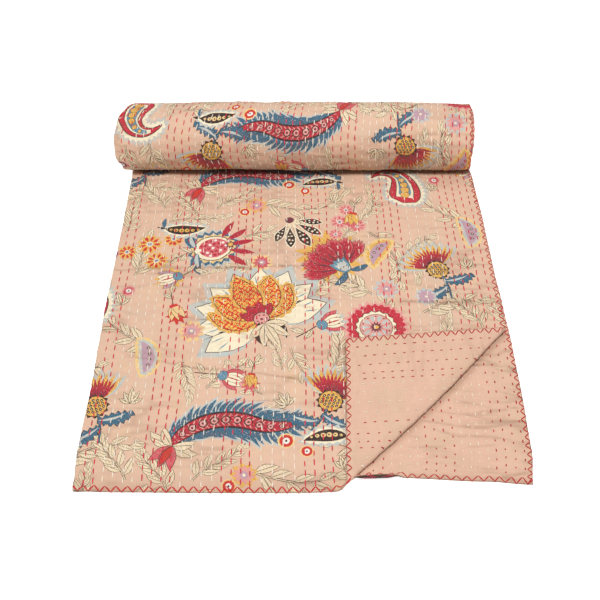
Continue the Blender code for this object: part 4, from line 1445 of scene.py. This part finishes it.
def edgeStitches():
    # a zigzag along the front hem and both long edges, worked on both sides
    random = np.random.default_rng(9)
    out = []
    for side in (1.0, -1.0):
        lines = [((-edgeU, 0.0), (1.0, 0.0), (0.0, 1.0), 2 * edgeU, edging["pitch"], hemDepth)]
        for edge, depths in ((-1, underDepth), (1, upperDepth)):
            start, inward = (edge * edgeU, 0.0), (-edge, 0.0)
            lines.append((start, (0.0, 1.0), inward, quilt["length"] - 0.004, edging["edgePitch"], depths))
        for line in lines:
            points = zigzag(random, *line)
            out += [(a, b, side) for a, b in zip(points, points[1:])]
    return out


edgeZigzag = makeThreads("edgeZigzag", edgeStitches(), edging["halfWidth"], edging["height"], edging["tuck"])


class Wire:
    # a socket that takes Python's maths
    def __init__(self, paper, socket):
        self.paper, self.socket = paper, socket

    def maths(self, operation, *others, clamp=False):
        settings = {"operation": operation, "use_clamp": clamp}
        return self.paper.node("ShaderNodeMath", settings, self, *others)

    def __add__(self, other):
        return self.maths("ADD", other)

    def __radd__(self, other):
        return self.maths("ADD", other)

    def __sub__(self, other):
        return self.maths("SUBTRACT", other)

    def __rsub__(self, other):
        return self.paper.node("ShaderNodeMath", {"operation": "SUBTRACT"}, other, self)

    def __mul__(self, other):
        return self.maths("MULTIPLY", other)

    def __rmul__(self, other):
        return self.maths("MULTIPLY", other)

    def __lt__(self, other):
        return self.maths("LESS_THAN", other)

    def __gt__(self, other):
        return self.maths("GREATER_THAN", other)


class Paper:
    # a material's node sheet
    def __init__(self, name):
        self.material = bpy.data.materials.new(name)
        self.material.use_nodes = True
        self.tree = self.material.node_tree
        self.tree.nodes.clear()
        output = self.tree.nodes.new("ShaderNodeOutputMaterial")
        self.shader = self.tree.nodes.new("ShaderNodeBsdfPrincipled")
        self.tree.links.new(self.shader.outputs[0], output.inputs[0])

    def fill(self, socket, value):
        if isinstance(value, Wire):
            self.tree.links.new(value.socket, socket)
        else:
            socket.default_value = value

    def node(self, kind, settings, *values, out=0, **named):
        made = self.tree.nodes.new(kind)
        for key, value in settings.items():
            setattr(made, key, value)
        for socket, value in zip(made.inputs, values):
            self.fill(socket, value)
        for key, value in named.items():
            self.fill(made.inputs[key.replace("_", " ")], value)
        return Wire(self, made.outputs[out])

    def mix(self, share, a, b, blend="MIX"):
        made = self.tree.nodes.new("ShaderNodeMix")
        made.data_type, made.blend_type = "RGBA", blend
        for number, value in ((0, share), (6, a), (7, b)):
            self.fill(made.inputs[number], value)
        return Wire(self, made.outputs[2])

    def finish(self, **sockets):
        for key, value in sockets.items():
            self.fill(self.shader.inputs[key.replace("_", " ")], value)
        return self.material


def linear(rgb):
    return tuple((c / 255.0) ** 2.2 for c in rgb) + (1.0,)


def noise(paper, place, scale, detail, roughness=0.5):
    return paper.node("ShaderNodeTexNoise", {}, Vector=place, Scale=scale, Detail=detail, Roughness=roughness)


def attribute(paper, name, out):
    # 0 gives its colour, 1 its vector, 2 its number
    return paper.node("ShaderNodeAttribute", {"attribute_name": name}, out=out)


def parts(paper, place, count):
    return [paper.node("ShaderNodeSeparateXYZ", {}, place, out=axis) for axis in range(count)]


def clamped(value, times):
    return value.maths("MULTIPLY", times, clamp=True)


def grey(paper, *channels):
    return paper.node("ShaderNodeCombineColor", {}, *channels)


# both cottons: their slubs, how strong their painted shade is and its colour, and the height of weave, slubs
# and ridges
cotton = {
    "printedSlub": 0.34, "plainSlub": 0.38, "printedDull": 0.36, "plainDull": 0.42, "hollow": (120, 84, 66),
    "weave": 11000.0, "slubLong": 22.0, "slubFine": 900.0,
    "weaveHeight": 0.00006, "slubHeight": 0.00025, "ridgeHeight": 0.0011, "ridges": (55.0, 260.0, 1.0),
}
# the patterns in the print's inks: colours, and the size and strength of each
pattern = {
    "ground": (224, 186, 160), "scale": (246, 196, 96), "scaleHeart": (44, 34, 34), "scales": 136.0,
    "fleck": (238, 190, 186), "flecks": 230.0, "hatchAcross": 1150.0, "hatchAlong": 950.0, "hatchSway": 34.0,
    "leafHatch": (104, 80, 64), "leafShare": 0.42, "darkHatch": (30, 22, 34), "darkShare": 0.40,
    "warmHatch": (176, 66, 44), "warmShare": 0.45, "fadeShare": 0.75,
    "paleGround": (206, 192, 170), "warmGround": (232, 196, 150), "groundShare": 0.40, "wear": 0.16,
}
plain = {
    "low": (219, 179, 154), "high": (227, 187, 162), "pale": (214, 184, 152), "paleShare": 0.45,
    "pink": (230, 182, 160), "pinkShare": 0.35,
}


def weave(paper, place, slubs):
    # plain weave: two crossing sets of threads, with long slubs in each
    u, s = parts(paper, place, 2)
    cloth = (u * cotton["weave"]).maths("SINE") * (s * cotton["weave"]).maths("SINE")
    fine, long = cotton["slubFine"], cotton["slubLong"]
    warp, weft = (paper.node("ShaderNodeMapping", {}, place, Scale=scale)
                  for scale in ((fine, long, 1.0), (long, fine, 1.0)))
    slubA, slubB = noise(paper, warp, 1.0, 2.0, 0.6), noise(paper, weft, 1.0, 2.0, 0.6)
    return cloth, (slubA - 0.5) * slubs + (slubB - 0.5) * slubs


def printedColour(paper, place):
    # the inks by the number of their pattern: 1 scales, 2 and up flecks, 3, 5 and 6 hatches, 4 fades
    colour, kind = attribute(paper, "inkColour", 0), attribute(paper, "inkKind", 2)
    base = linear(pattern["ground"])
    turned = paper.node("ShaderNodeMapping", {}, place, Rotation=(0.0, 0.0, 0.6))
    cells = paper.node("ShaderNodeTexVoronoi", {}, Vector=turned, Scale=pattern["scales"], Randomness=0.42)
    isScales = (kind > 0.5) * (kind < 1.5)
    colour = paper.mix(isScales * (cells < 0.42), colour, linear(pattern["scale"]))
    colour = paper.mix(isScales * (cells < 0.19), colour, linear(pattern["scaleHeart"]))
    square = {"distance": "MANHATTAN"}
    fleck = paper.node("ShaderNodeTexVoronoi", square, Vector=place, Scale=pattern["flecks"], Randomness=0.9)
    colour = paper.mix((kind > 1.5) * (fleck < 0.26), colour, linear(pattern["fleck"]))
    u, s = parts(paper, place, 2)
    sway = noise(paper, place, 38.0, 1.0)
    hatch = u * pattern["hatchAcross"] + s * pattern["hatchAlong"] + sway * pattern["hatchSway"]
    hatch = hatch.maths("SINE")
    leaf = (kind > 2.5) * (kind < 3.5) * (hatch > 0.80) * pattern["leafShare"]
    colour = paper.mix(leaf, colour, linear(pattern["leafHatch"]))
    colour = paper.mix((kind > 3.5) * (kind < 4.5) * clamped(sway, pattern["fadeShare"]), colour, base)
    dark = (kind > 4.5) * (kind < 5.5) * (hatch > 0.45) * pattern["darkShare"]
    colour = paper.mix(dark, colour, linear(pattern["darkHatch"]))
    warm = (kind > 5.5) * (hatch > 0.45) * pattern["warmShare"]
    colour = paper.mix(warm, colour, linear(pattern["warmHatch"]))
    tints = noise(paper, place, 15.0, 2.0)
    share = pattern["groundShare"]
    pale = (kind < -0.5) * clamped((tints - 0.56) * 5.0, share)
    colour = paper.mix(pale, colour, linear(pattern["paleGround"]))
    warm = (kind < -0.5) * clamped((0.44 - tints) * 5.0, share)
    colour = paper.mix(warm, colour, linear(pattern["warmGround"]))
    fade = noise(paper, place, 180.0, 3.0, 0.7)
    return paper.mix(clamped((fade - 0.45) * 1.6, pattern["wear"]) + 0.05, colour, base)


def plainColour(paper, place, mottle):
    colour = paper.mix(mottle, linear(plain["low"]), linear(plain["high"]))
    tints = noise(paper, place, 17.0, 2.0)
    colour = paper.mix(clamped((tints - 0.53) * 5.0, plain["paleShare"]), colour, linear(plain["pale"]))
    return paper.mix(clamped((0.47 - tints) * 5.0, plain["pinkShare"]), colour, linear(plain["pink"]))


def clothMaterial(name, kind):
    paper = Paper(name)
    place = attribute(paper, "clothPlace", 1)
    cloth, slub = weave(paper, place, cotton[kind + "Slub"])
    mottle = noise(paper, place, 26.0, 4.0, 0.55)
    colour = printedColour(paper, place) if kind == "printed" else plainColour(paper, place, mottle)
    threads = grey(paper, *(0.94 + slub * share for share in (0.5, 0.52, 0.56)))
    colour = paper.mix(1.0, colour, threads, "MULTIPLY")
    patches = grey(paper, *(0.90 + mottle * 0.2 for channel in range(3)))
    colour = paper.mix(0.5, colour, patches, "MULTIPLY")
    # painted shade: the colour is darkened toward a brown by the cloth's painted-shade attribute
    paintedDark = clamped(attribute(paper, "clothShade", 2), cotton[kind + "Dull"])
    colour = paper.mix(paintedDark, colour, linear(cotton["hollow"]))
    ridgePlace = paper.node("ShaderNodeMapping", {}, place, Scale=cotton["ridges"])
    ridge = noise(paper, ridgePlace, 1.0, 3.0, 0.55)
    height = cloth * cotton["weaveHeight"] + slub * cotton["slubHeight"] + ridge * cotton["ridgeHeight"]
    bump = paper.node("ShaderNodeBump", {}, Strength=1.0, Distance=1.0, Height=height)
    return paper.finish(
        Base_Color=colour, Roughness=0.84 + slub * 0.15, Sheen_Weight=0.06, Sheen_Roughness=0.55,
        Specular_IOR_Level=0.10, Normal=bump)


# each thread's darkest and lightest colour, and how tightly the threads are twisted
threadColours = {
    "redThread": ((158, 24, 44), (238, 66, 82)), "creamThread": ((240, 222, 198), (252, 242, 224)),
    "edgeThread": ((182, 22, 34), (214, 44, 50)),
}
threadTwist = 2600.0


def threadMaterial(name):
    dark, light = threadColours[name]
    paper = Paper(name)
    turn, along, chance = parts(paper, attribute(paper, "clothPlace", 1), 3)
    ply = (turn * 2.0 + along * threadTwist).maths("SINE")
    colour = paper.mix(chance * 0.7 + (ply + 1.0) * 0.15, linear(dark), linear(light))
    bump = paper.node("ShaderNodeBump", {}, Strength=0.6, Distance=0.0004, Height=ply)
    return paper.finish(
        Base_Color=colour, Roughness=0.62 + ply * 0.08, Sheen_Weight=0.10, Specular_IOR_Level=0.20,
        Normal=bump)


dressed = (
    (faceCloth, clothMaterial("printedCotton", "printed"), "printed_cotton"),
    (backCloth, clothMaterial("plainCotton", "plain"), "plain_cotton"),
    (redRows, threadMaterial("redThread"), "red_thread"),
    (creamRows, threadMaterial("creamThread"), "cream_thread"),
    (edgeZigzag, threadMaterial("edgeThread"), "red_thread"),
)
for piece, material, slot in dressed:
    piece.data.materials.append(material)
    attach(piece, "root")
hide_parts("face_cloth")
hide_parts("back_cloth")

# sizes in metres, powers in watts
studio = {
    "floor": 6.0, "backdrop": 9.0, "world": 0.34, "floorGrey": 0.6, "floorGlow": 0.83, "lampSize": 0.75,
    "keyPower": 77.0, "keyPlace": (-0.05, -0.80, 3.0), "fillPower": 9.0, "fillPlace": (0.9, 1.0, 2.4),
}
view = {"place": (0.0, -0.6338, 1.249), "pitch": 50.0, "lens": 50.28, "sensor": 36.0, "shiftX": -0.0065}


def stagePiece(name, bm, material):
    mesh = bpy.data.meshes.new(name)
    bm.to_mesh(mesh)
    bm.free()
    mesh.materials.append(material)
    piece = linkPiece(name, mesh)
    return piece


def whiteMaterial(name, shade, roughness, specular, glow):
    return Paper(name).finish(
        Base_Color=(shade, shade, shade, 1), Roughness=roughness, Specular_IOR_Level=specular,
        Emission_Color=(1, 1, 1, 1), Emission_Strength=glow)


def softLight(name, place, power):
    light = bpy.data.lights.new(name, "AREA")
    light.energy, light.size = power, studio["lampSize"]
    lamp = bpy.data.objects.new(name, light)
    lamp.location = place
    lamp.rotation_euler = (Vector((0, 0, 0)) - Vector(place)).to_track_quat("-Z", "Y").to_euler()
    bpy.context.scene.collection.objects.link(lamp)


bm = bmesh.new()
bmesh.ops.create_grid(bm, x_segments=2, y_segments=2, size=studio["floor"])
stagePiece("floor", bm, whiteMaterial("floorWhite", studio["floorGrey"], 0.9, 0.1, studio["floorGlow"]))

# a white backdrop for low views; it neither lights nor shades the quilt
bm = bmesh.new()
bmesh.ops.create_uvsphere(bm, u_segments=48, v_segments=24, radius=studio["backdrop"])
bmesh.ops.reverse_faces(bm, faces=bm.faces)
backdrop = stagePiece("backdrop", bm, whiteMaterial("backdropWhite", 0, 1.0, 0.0, 1.0))
for ray in ("diffuse", "glossy", "shadow", "transmission"):
    setattr(backdrop, "visible_" + ray, False)

world = bpy.data.worlds.new("studioWorld")
world.use_nodes = True
background = world.node_tree.nodes["Background"]
background.inputs[0].default_value = (1, 1, 1, 1)
background.inputs[1].default_value = studio["world"]
bpy.context.scene.world = world
softLight("keyLight", studio["keyPlace"], studio["keyPower"])
softLight("fillLight", studio["fillPlace"], studio["fillPower"])

cameraData = bpy.data.cameras.new("camera")
cameraData.lens, cameraData.sensor_width, cameraData.shift_x = view["lens"], view["sensor"], view["shiftX"]
camera = bpy.data.objects.new("camera", cameraData)
x, y, z = view["place"]
camera.location = (x + originShift[0], y + originShift[1], z)
camera.rotation_euler = (math.radians(90 - view["pitch"]), 0, 0)
bpy.context.scene.collection.objects.link(camera)
bpy.context.scene.camera = camera
bpy.context.scene.view_settings.view_transform = "Standard"
print("stage: floor, light and camera are set")
